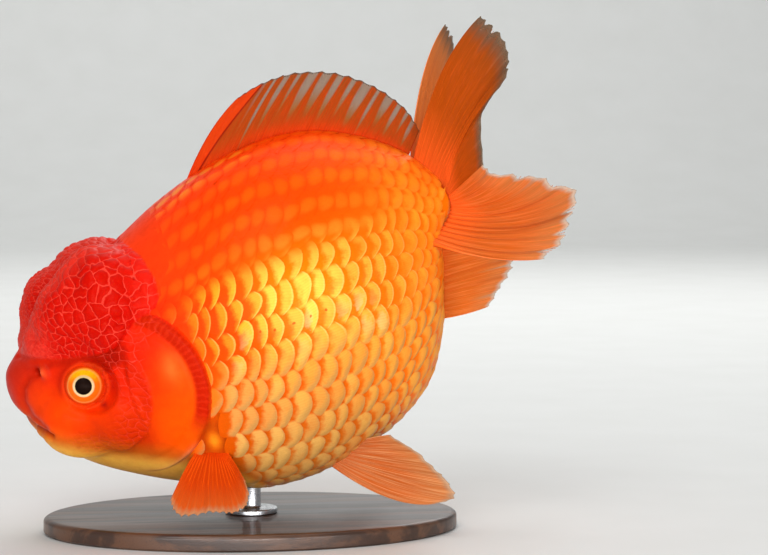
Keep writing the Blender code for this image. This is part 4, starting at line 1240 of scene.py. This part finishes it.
# rays, ridge and web thickness in mm, scallop and wave of the edge, where the rays fork;
# solid: rays at the front and rear with a full web; clear slots between the others: start and its spread, width;
# margin: where the pale edge begins and ends; fold: first ray and slant of a crease painted dark as shade
finKinds = {
    "dorsal": {
        "rays": 19, "ridge": 0.6, "web": 0.16, "scallop": 0.03, "wave": 0.25, "fork": 0.55,
        "root": tone(228, 52, 4), "middle": tone(160, 66, 16), "edge": tone(138, 66, 24), "bone": tone(178, 52, 8),
        "slotLow": tone(140, 92, 44), "slot": tone(140, 124, 106), "slotFrom": 0.3, "spread": 0.34, "slotWide": 0.5,
        "slotAlpha": 0.76, "bodyAlpha": 0.97, "solid": (3.6, 1.3), "fold": (0.9, 2.4),
        "margin": (0.965, 0.995), "marginTone": tone(96, 70, 52), "marginAlpha": 0.85,
    },
    "tail_upper": {
        "rays": 15, "ridge": 0.42, "web": 0.16, "scallop": 0.02, "wave": 0.25, "fork": 0.4,
        "root": tone(228, 90, 30), "middle": tone(164, 68, 8), "edge": tone(138, 66, 18), "bone": tone(182, 74, 12),
        "slotLow": tone(176, 92, 46), "slot": tone(150, 118, 92), "slotFrom": 0.86, "spread": 0.2, "slotWide": 0.6,
        "slotAlpha": 0.75, "bodyAlpha": 0.95, "solid": (3.0, 1.0), "fold": (-9.0, 0.0),
        "margin": (0.8, 1.02), "marginTone": tone(92, 80, 56), "marginAlpha": 0.76,
        "notches": ((0.09, 0.035, 0.012), (0.16, 0.05, 0.014), (0.46, 0.02, 0.02)),
    },
    "tail_lower": {
        "rays": 15, "ridge": 0.9, "web": 0.16, "scallop": 0.04, "wave": 1.5, "fork": 0.45,
        "root": tone(244, 100, 28), "middle": tone(202, 92, 28), "edge": tone(196, 116, 60), "bone": tone(238, 126, 66),
        "slotLow": tone(196, 110, 60), "slot": tone(180, 150, 120), "slotFrom": 0.82, "spread": 0.3, "slotWide": 0.6,
        "slotAlpha": 0.7, "bodyAlpha": 0.95, "solid": (0.5, 1.0), "fold": (-9.0, 0.0),
        "margin": (0.93, 1.0), "marginTone": tone(206, 186, 166), "marginAlpha": 0.8,
        "notches": ((0.26, 0.05, 0.02), (0.42, 0.04, 0.02), (0.6, 0.07, 0.02), (0.76, 0.06, 0.018), (0.9, 0.1, 0.03)),
    },
    "anal": {
        "rays": 9, "ridge": 0.6, "web": 0.16, "scallop": 0.05, "wave": 0.5, "fork": 0.5,
        "root": tone(238, 98, 20), "middle": tone(206, 98, 30), "edge": tone(196, 116, 60), "bone": tone(236, 134, 66),
        "slotLow": tone(200, 120, 66), "slot": tone(182, 150, 116), "slotFrom": 0.74, "spread": 0.3, "slotWide": 0.6,
        "slotAlpha": 0.7, "bodyAlpha": 0.94, "solid": (1.2, 0.5), "fold": (-9.0, 0.0),
        "margin": (0.92, 1.0), "marginTone": tone(204, 188, 170), "marginAlpha": 0.8,
    },
    "pectoral": {
        "rays": 19, "ridge": 0.42, "web": 0.16, "scallop": 0.035, "wave": 0.4, "fork": 0.5,
        "root": tone(206, 52, 3), "middle": tone(198, 56, 4), "edge": tone(200, 88, 30), "bone": tone(224, 80, 10),
        "slotLow": tone(204, 96, 40), "slot": tone(204, 130, 80), "slotFrom": 0.84, "spread": 0.2, "slotWide": 0.6,
        "slotAlpha": 0.75, "bodyAlpha": 0.96, "solid": (1.5, 0.5), "fold": (-9.0, 0.0),
        "margin": (0.9, 1.0), "marginTone": tone(206, 142, 96), "marginAlpha": 0.8,
    },
    "pelvic": {
        "rays": 11, "ridge": 0.5, "web": 0.16, "scallop": 0.025, "wave": 0.35, "fork": 0.42,
        "root": tone(216, 104, 46), "middle": tone(204, 92, 30), "edge": tone(202, 118, 62), "bone": tone(242, 180, 124),
        "slotLow": tone(204, 112, 56), "slot": tone(196, 146, 104), "slotFrom": 0.82, "spread": 0.25, "slotWide": 0.5,
        "slotAlpha": 0.75, "bodyAlpha": 0.95, "solid": (0.5, 0.5), "fold": (-9.0, 0.0),
        "margin": (0.92, 1.0), "marginTone": tone(196, 160, 126), "marginAlpha": 0.8,
    },
}

# the far lobe of the tail is painted brighter, as light shining through it
finKinds["tail_upper_far"] = dict(
    finKinds["tail_upper"], root=tone(246, 112, 48), middle=tone(222, 112, 46), edge=tone(200, 122, 66),
    bone=tone(236, 134, 70))


def finPlace(rays, across, along, wave=0.0, phase=0.0):
    # a point on the fin: across from the first ray to the last, along from root to edge, both 0 to 1
    row = alongRows(rays, across * (len(rays) - 1))
    root, tip = row[:3], row[3:6]
    point = root + (tip - root) * along
    point[2] += 4 * along * (1 - along) * row[6]
    if wave:
        side = alongRows(rays, min(1.0, across + 0.01) * (len(rays) - 1)) - row
        spread = side[:3] + (side[3:6] - side[:3]) * along
        away = np.cross(spread, tip - root)
        size = np.linalg.norm(away)
        if size > 1e-9:
            ripple = math.sin(across * 21 + phase + along * 2.2) + 0.6 * math.sin(across * 47 + phase * 2)
            ripple *= min(1.0, across * 8, (1 - across) * 8)
            point += away / size * wave * ripple * along ** 1.6 * 0.6
    return point


def makeFin(name, kind, finish, phase):
    rays = finRays[name]
    count = kind["rays"]
    perRay, steps = 6, 34
    total = (count - 1) * perRay + 1
    middle = np.zeros((total, steps + 1, 3))
    for i in range(total):
        across = i / (total - 1)
        between = abs(math.sin(math.pi * i / perRay))
        jag = noise.noise(Vector((i * 0.37, phase, 0))) * 0.5
        reach = 1 - kind["scallop"] * (between * 0.7 + abs(jag))
        for place, depth, wide in kind.get("notches", ()):
            reach -= depth * math.exp(-((across - place) / wide) ** 2)
        for j in range(steps + 1):
            middle[i, j] = finPlace(rays, across, reach * j / steps, kind["wave"], phase)
    lie = np.cross(np.gradient(middle, axis=0), np.gradient(middle, axis=1))
    lie /= np.maximum(np.linalg.norm(lie, axis=2), 1e-9)[:, :, None]
    i, j = np.meshgrid(np.arange(total), np.arange(steps + 1), indexing="ij")
    onRay = np.abs(np.cos(math.pi * i / perRay)) ** 3
    taper = 1 - 0.75 * (j / steps)
    thick = kind["web"] + (kind["ridge"] - kind["web"]) * onRay * taper
    thick += 0.8 * np.exp(-(j / steps) * 9) * 0.7
    half = (thick / 2)[:, :, None] * lie
    sheets = [middle + half, middle - half]
    mesh = bpy.data.meshes.new("membrane_" + name)
    across = steps + 1
    verts = np.concatenate([s.reshape(-1, 3) for s in sheets])
    shift = total * across
    faces = []
    for a in range(total - 1):
        for b in range(steps):
            quad = (a * across + b, a * across + b + 1, (a + 1) * across + b + 1, (a + 1) * across + b)
            faces.append(quad)
            faces.append(tuple(shift + k for k in reversed(quad)))
    edge = [a * across for a in range(total)] + [(total - 1) * across + b for b in range(1, across)]
    edge += [a * across + steps for a in range(total - 2, -1, -1)] + list(range(steps - 1, 0, -1))
    for a, b in zip(edge, edge[1:] + edge[:1]):
        faces.append((a, b, shift + b, shift + a))
    mesh.from_pydata(verts.tolist(), [], faces)
    mesh.update()
    corner = np.zeros(len(mesh.loops), np.int32)
    mesh.loops.foreach_get("vertex_index", corner)
    corner = corner % shift
    uv = np.stack([(corner // across) / perRay, (corner % across) / steps], 1)
    layer = mesh.uv_layers.new(name="FinUV")
    layer.data.foreach_set("uv", uv.astype(np.float32).ravel())
    bm = bmesh.new()
    bm.from_mesh(mesh)
    bmesh.ops.recalc_face_normals(bm, faces=bm.faces)
    bm.to_mesh(mesh)
    bm.free()
    obj = meshObject(mesh.name, mesh=mesh)
    mesh.materials.append(finish)
    return finishPiece(obj, [name])


def rayTree():
    tree, start, end, ids = newTree("finRays", {"Thickness": "Float", "Sides": "Int", "Finish": "Material"})
    curve = addNode(tree, "GeometryNodeMeshToCurve", {"Mesh": start.outputs["Geometry"]}).outputs[0]
    radius = sums(tree, "MULTIPLY", named(tree, "thick"), start.outputs["Thickness"])
    ring = addNode(tree, "GeometryNodeCurvePrimitiveCircle", {
        "Resolution": start.outputs["Sides"], "Radius": 1.0}).outputs[0]
    sized = addNode(tree, "GeometryNodeSetCurveRadius", {"Curve": curve, "Radius": radius}).outputs[0]
    solid = addNode(tree, "GeometryNodeCurveToMesh", {
        "Curve": sized, "Profile Curve": ring, "Scale": named(tree, "thick"), "Fill Caps": True})
    closeTree(tree, start, end, solid.outputs[0])
    return tree, ids


def makeRays(name, kind, tree, ids, finish, phase):
    rays = finRays[name]
    count = kind["rays"]
    verts, edges, thick, along = [], [], [], []

    def branch(centre, spread, start, end, width, level):
        steps = max(3, round((end - start) * 26))
        first = len(verts)
        for i in range(steps + 1):
            t = start + (end - start) * i / steps
            across = centre + spread * (i / steps) ** 1.3
            across = min(1.0, max(0.0, across))
            verts.append(finPlace(rays, across, t, kind["wave"], phase))
            thick.append(width * (1 - 0.45 * i / steps))
            along.append(t)
            if i:
                edges.append((first + i - 1, first + i))
        if level < 2:
            final = min(1.0, max(0.0, centre + spread))
            fork = end + (1 - end) * (0.5 if level == 0 else 1.0)
            gap = 0.24 / (count - 1) / (level + 1)
            reach = min(fork, 0.97) if level == 0 else 0.97
            if reach > end + 0.05:
                for way in (-1, 1):
                    branch(final, way * gap, end, reach, width * 0.55, level + 1)

    for number in range(count):
        rng = noise.noise(Vector((number * 1.7, phase, 3)))
        branch(number / (count - 1), 0.0, 0.0, kind["fork"] + 0.1 * rng, 0.36, 0)
    mesh = bpy.data.meshes.new("lines")
    mesh.from_pydata([tuple(v) for v in verts], edges, [])
    storeFloat(mesh, "thick", thick)
    storeFloat(mesh, "along", along)
    lines = meshObject("lines", mesh=mesh)
    addTree(lines, tree, ids, {"Thickness": 1.0, "Sides": 6, "Finish": finish})
    obj = settled(lines, "rays_" + name)
    return finishPiece(obj)


def membraneFinish(name, kind):
    made, tree, shader = newMaterial(name + "_membrane")
    uv = addNode(tree, "ShaderNodeUVMap", uv_map="FinUV").outputs[0]
    parts = addNode(tree, "ShaderNodeSeparateXYZ", {0: uv})
    across, along = parts.outputs[0], parts.outputs[1]
    streak = speckle(tree, vectorSums(tree, "MULTIPLY", uv, (3.0, 2.2, 1.0)), 2.4, 4.0, 0.6)
    fibre = speckle(tree, vectorSums(tree, "MULTIPLY", uv, (5.0, 0.7, 1.0)), 2.0, 3.0, 0.6)
    base = mixColours(tree, ramp(tree, along, 0.02, 0.42), kind["root"], kind["middle"])
    base = mixColours(tree, ramp(tree, along, 0.55, 1.0), base, kind["edge"])
    base = mixColours(tree, ramp(tree, fibre, 0.42, 0.66, 0.0, 0.6), base, kind["bone"])
    base = mixColours(tree, ramp(tree, streak, 0.45, 0.75, 0.0, 0.3), base, kind["root"])
    # painted shade along a crease, with the web before it darker red
    first, slant = kind["fold"]
    fromFold = sums(tree, "SUBTRACT", across, sums(tree, "MULTIPLY_ADD", along, slant, first))
    base = mixColours(tree, hollow(tree, fromFold, 0.0, 0.3), base, tone(140, 20, 4))
    base = mixColours(tree, sums(tree, "MULTIPLY", ramp(tree, fromFold, 0.0, -0.2), 0.75), base, tone(220, 58, 10))
    # clear slots between the rays, each with its own start
    fromRay = sums(tree, "PINGPONG", across, 0.5)  # 0 on a ray, 0.5 half way to the next
    number = sums(tree, "FLOOR", across)
    chance = addNode(tree, "ShaderNodeTexWhiteNoise", {"W": number}, noise_dimensions="1D").outputs["Value"]
    start = sums(tree, "MULTIPLY_ADD", chance, kind["spread"], kind["slotFrom"] - kind["spread"] / 2)
    past = sums(tree, "SUBTRACT", sums(tree, "MULTIPLY_ADD", streak, 0.12, along), start)
    front, rear = kind["solid"]
    isOpen = sums(tree, "MULTIPLY", ramp(tree, across, front - 0.6, front + 0.6),
                 ramp(tree, across, kind["rays"] - 1 - rear + 0.5, kind["rays"] - 1 - rear - 0.5))
    half = ramp(tree, past, 0.0, 0.6, kind["slotWide"] * 0.25, kind["slotWide"] * 0.6)
    other = addNode(tree, "ShaderNodeTexWhiteNoise", {"W": sums(tree, "ADD", number, 7.3)}, noise_dimensions="1D")
    half = sums(tree, "MULTIPLY", half, ramp(tree, other.outputs["Value"], 0.0, 1.0, 0.45, 1.25, "LINEAR"))
    slot = ramp(tree, sums(tree, "ADD", sums(tree, "SUBTRACT", fromRay, 0.5), half), -0.06, 0.1)
    slot = sums(tree, "MULTIPLY", sums(tree, "MULTIPLY", slot, ramp(tree, past, 0.0, 0.25)), isOpen)
    slotTone = mixColours(tree, ramp(tree, past, 0.14, 0.55), kind["slotLow"], kind["slot"])
    base = mixColours(tree, sums(tree, "MULTIPLY", slot, 0.9), base, slotTone)
    low, high = kind["margin"]
    margin = ramp(tree, sums(tree, "MULTIPLY_ADD", streak, 0.08, along), low + 0.04, high + 0.04)
    base = mixColours(tree, sums(tree, "MULTIPLY", margin, 0.85), base, kind["marginTone"])
    alpha = ramp(tree, sums(tree, "MULTIPLY", slot, ramp(tree, past, 0.15, 0.55)), 0.0, 1.0, kind["bodyAlpha"],
                 kind["slotAlpha"], "LINEAR")
    alpha = sums(tree, "MULTIPLY", alpha, ramp(tree, margin, 0.0, 1.0, 1.0, kind["marginAlpha"], "LINEAR"))
    tree.links.new(base, shader.inputs["Base Color"])
    tree.links.new(alpha, shader.inputs["Alpha"])
    height = sums(tree, "ADD", sums(tree, "MULTIPLY", fibre, 1.6), streak)
    tree.links.new(bump(tree, height, 0.0002, 0.5), shader.inputs["Normal"])
    shader.inputs["Roughness"].default_value = 0.5
    gloss(shader, 0.1, 0.0, 0.2)
    return made


def rayFinish(name, kind):
    made, tree, shader = newMaterial(name + "_rays")
    along = attribute(tree, "along")
    fleck = speckle(tree, objectPlace(tree), 1400.0, 3.0, 0.6)
    base = mixColours(tree, ramp(tree, along, 0.05, 0.4), kind["root"], kind["bone"])
    base = mixColours(tree, ramp(tree, along, 0.7, 1.0), base, kind["edge"])
    base = mixColours(tree, ramp(tree, fleck, 0.4, 0.7, 0.0, 0.3), base, kind["root"])
    tree.links.new(base, shader.inputs["Base Color"])
    tree.links.new(ramp(tree, fleck, 0.3, 0.7, 0.4, 0.55), shader.inputs["Roughness"])
    gloss(shader, 0.1, 0.0, 0.2)
    return made


def makeFins():
    tree, ids = rayTree()
    finishes = {}
    for number, name in enumerate(finRays):
        kindName = name.replace("_fin", "").replace("_left", "").replace("_right", "")
        if name == "tail_upper_right":
            kindName = "tail_upper_far"
        kind = finKinds[kindName]
        if kindName not in finishes:
            finishes[kindName] = (membraneFinish(kindName, kind), rayFinish(kindName, kind))
        membrane, bone = finishes[kindName]
        makeFin(name, kind, membrane, number * 1.9)
        makeRays(name, kind, tree, ids, bone, number * 1.9)
    print("fins done")


# ---- the stand


stand = {
    "length": 0.112, "width": 0.074, "thick": 0.0045, "round": 0.0012,
    "rod": 0.0025, "foot": 0.007, "footThick": 0.0012, "lift": 0.0003,
}


def turnedPiece(name, profile, segments, stretch=1.0):
    bm = bmesh.new()
    loops = []
    for radius, z in profile:
        angles = [2 * math.pi * i / segments for i in range(segments)]
        loops.append([bm.verts.new((radius * stretch * math.cos(a), radius * math.sin(a), z)) for a in angles])
    for a, b in zip(loops, loops[1:]):
        for i in range(segments):
            j = (i + 1) % segments
            bm.faces.new((a[i], a[j], b[j], b[i]))
    for loop in (loops[0], loops[-1]):
        bm.faces.new(loop)
    return meshObject(name, bm)


def makeStand():
    half, thick, edge = stand["width"] / 2, stand["thick"], stand["round"]
    arc = [math.radians(a) for a in range(0, 91, 15)]
    profile = [(half - 0.0006, 0.0), (half, 0.0006)]
    profile += [(half - edge + edge * math.cos(a), thick - edge + edge * math.sin(a)) for a in arc]
    profile += [(half * s, thick) for s in (0.93, 0.6, 0.3)]
    base = turnedPiece("base_plate", profile, 128, stand["length"] / stand["width"])
    base.data.materials.append(woodFinish())
    base.data.shade_smooth()
    base.data.set_sharp_from_angle(angle=math.radians(35))
    finishPiece(base, ["stand_base"], smooth=False, inFishFrame=False)
    low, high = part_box("stand_rod")
    foot = low.z
    rod, wide, footThick = stand["rod"], stand["foot"], stand["footThick"]
    turn = [math.radians(a) for a in range(0, 91, 18)]
    profile = [(wide, foot)]
    profile += [(wide - 0.0004 + 0.0004 * math.cos(a), foot + footThick - 0.0004 + 0.0004 * math.sin(a)) for a in turn]
    profile += [(rod + 0.0008 - 0.0008 * math.sin(a), foot + footThick + 0.0008 - 0.0008 * math.cos(a)) for a in turn]
    profile += [(rod, foot + 0.006), (rod, high.z - 0.0002)]
    post = turnedPiece("support_rod", profile, 64)
    post.data.materials.append(steelFinish())
    post.data.shade_smooth()
    post.data.set_sharp_from_angle(angle=math.radians(35))
    finishPiece(post, ["stand_rod"], smooth=False, inFishFrame=False)
    print("stand done")


def woodFinish():
    made, tree, shader = newMaterial("walnut")
    place = objectPlace(tree)
    stretched = vectorSums(tree, "MULTIPLY", place, (14.0, 160.0, 90.0))
    warp = speckle(tree, stretched, 1.0, 4.0, 0.6)
    parts = addNode(tree, "ShaderNodeSeparateXYZ", {0: stretched})
    rings = sums(tree, "SINE", sums(tree, "ADD", sums(tree, "MULTIPLY", parts.outputs[1], 3.4),
                                    sums(tree, "MULTIPLY", warp, 16.0)))
    pores = speckle(tree, vectorSums(tree, "MULTIPLY", place, (260.0, 5200.0, 2600.0)), 1.0, 2.0, 0.6)
    base = mixColours(tree, ramp(tree, rings, -0.8, 1.0), tone(92, 60, 40), tone(58, 36, 24))
    base = mixColours(tree, ramp(tree, pores, 0.55, 0.75, 0.0, 0.6), base, tone(34, 20, 14))
    tree.links.new(base, shader.inputs["Base Color"])
    tree.links.new(ramp(tree, warp, 0.3, 0.7, 0.34, 0.46), shader.inputs["Roughness"])
    tree.links.new(bump(tree, pores, 0.00008, 0.4), shader.inputs["Normal"])
    shader.inputs["Coat Weight"].default_value = 0.2
    return made


def steelFinish():
    made, tree, shader = newMaterial("brushed_steel")
    place = objectPlace(tree)
    brush = speckle(tree, vectorSums(tree, "MULTIPLY", place, (900.0, 900.0, 9000.0)), 1.0, 2.0, 0.6)
    base = mixColours(tree, ramp(tree, brush, 0.3, 0.7), tone(176, 178, 182), tone(208, 210, 213))
    tree.links.new(base, shader.inputs["Base Color"])
    tree.links.new(ramp(tree, brush, 0.3, 0.7, 0.22, 0.36), shader.inputs["Roughness"])
    shader.inputs["Metallic"].default_value = 1.0
    return made


# ---- the studio


studio = {
    "azimuth": -8.0, "elevation": 4.0, "distance": 0.690, "lens": 119.8,
    "aimRight": 0.03294, "aimUp": 0.008775,  # from the fish's origin, along the view's own axes
}


def makeStudio():
    floor = bpy.data.meshes.new("studio_floor")
    depth = [(-2.2, 0.0), (1.3, 0.0)]
    depth += [(1.3 + 0.5 * math.sin(math.radians(a)), 0.5 - 0.5 * math.cos(math.radians(a))) for a in range(6, 91, 6)]
    depth += [(1.8, 2.2)]
    verts = [(x, y, z) for y, z in depth for x in (-2.6, 2.6)]
    faces = [(2 * i, 2 * i + 1, 2 * i + 3, 2 * i + 2) for i in range(len(depth) - 1)]
    floor.from_pydata(verts, [], faces)
    floor.shade_smooth()
    paper, tree, shader = newMaterial("paper_sweep")
    grain = speckle(tree, objectPlace(tree), 30.0, 3.0, 0.5)
    tree.links.new(mixColours(tree, grain, tone(220, 221, 218), tone(227, 228, 226)), shader.inputs["Base Color"])
    shader.inputs["Roughness"].default_value = 0.75
    floor.materials.append(paper)
    meshObject("studio_floor", mesh=floor)

    a, e = math.radians(studio["azimuth"]), math.radians(studio["elevation"])
    right = Vector((math.cos(a), math.sin(a), 0))
    back = Vector((math.sin(a) * math.cos(e), -math.cos(a) * math.cos(e), math.sin(e)))
    up = back.cross(right)
    aim = fishOrigin + right * studio["aimRight"] + up * studio["aimUp"]
    camera = bpy.data.objects.new("camera", bpy.data.cameras.new("camera"))
    camera.data.sensor_width = 36
    camera.data.lens = studio["lens"]
    camera.location = aim + back * studio["distance"]
    camera.rotation_euler = (-back).to_track_quat("-Z", "Y").to_euler()
    bpy.context.scene.collection.objects.link(camera)
    bpy.context.scene.camera = camera

    # place relative to the aim, width, height, watts, and what it faces when that is not the aim
    lamps = {
        "sweep": ((0.1, 0.75, 1.1), 1.2, 0.4, 8.0, (0.1, 1.75, 0.2)),
        "key": ((-0.35, -0.75, 0.75), 0.5, 0.5, 3.8),
        "front": ((-0.32, -1.05, 0.05), 0.9, 0.22, 5.2),
        "low": ((0.1, -0.6, -0.035), 0.5, 0.05, 1.3),
        "top": ((0.1, 0.15, 0.95), 0.7, 0.7, 2.9),
        "rear": ((0.3, 0.8, 0.6), 0.6, 0.6, 2.6),
    }
    for name, (place, wide, high, power, *facing) in lamps.items():
        light = bpy.data.lights.new(name, "AREA")
        light.shape = "RECTANGLE"
        light.size, light.size_y, light.energy = wide, high, power
        lamp = bpy.data.objects.new(name, light)
        lamp.location = aim + Vector(place)
        away = Vector(place) - Vector(facing[0] if facing else (0, 0, 0))
        lamp.rotation_euler = away.to_track_quat("Z", "Y").to_euler()
        bpy.context.scene.collection.objects.link(lamp)
    world = bpy.data.worlds.new("studio")
    world.use_nodes = True
    world.node_tree.nodes["Background"].inputs[0].default_value = (0.97, 0.98, 1.0, 1)
    world.node_tree.nodes["Background"].inputs[1].default_value = 0.3
    bpy.context.scene.world = world
    bpy.context.scene.view_settings.view_transform = "Standard"
    print("studio done")


fleshNodes = ["head", "lower_jaw", "trunk", "tail_base"]
fleshNodes += [part + word for part in ("hood_", "cheek_", "gill_cover_") for word in ("left", "right")]

skinMaterial = skinFinish()
skinPiece = growWarts(makeSkin(), skinMaterial)
finishPiece(skinPiece, fleshNodes)
makeScales(scaleFinish())
makeEyes(eyeFinish())
makeFins()
makeStand()
makeStudio()
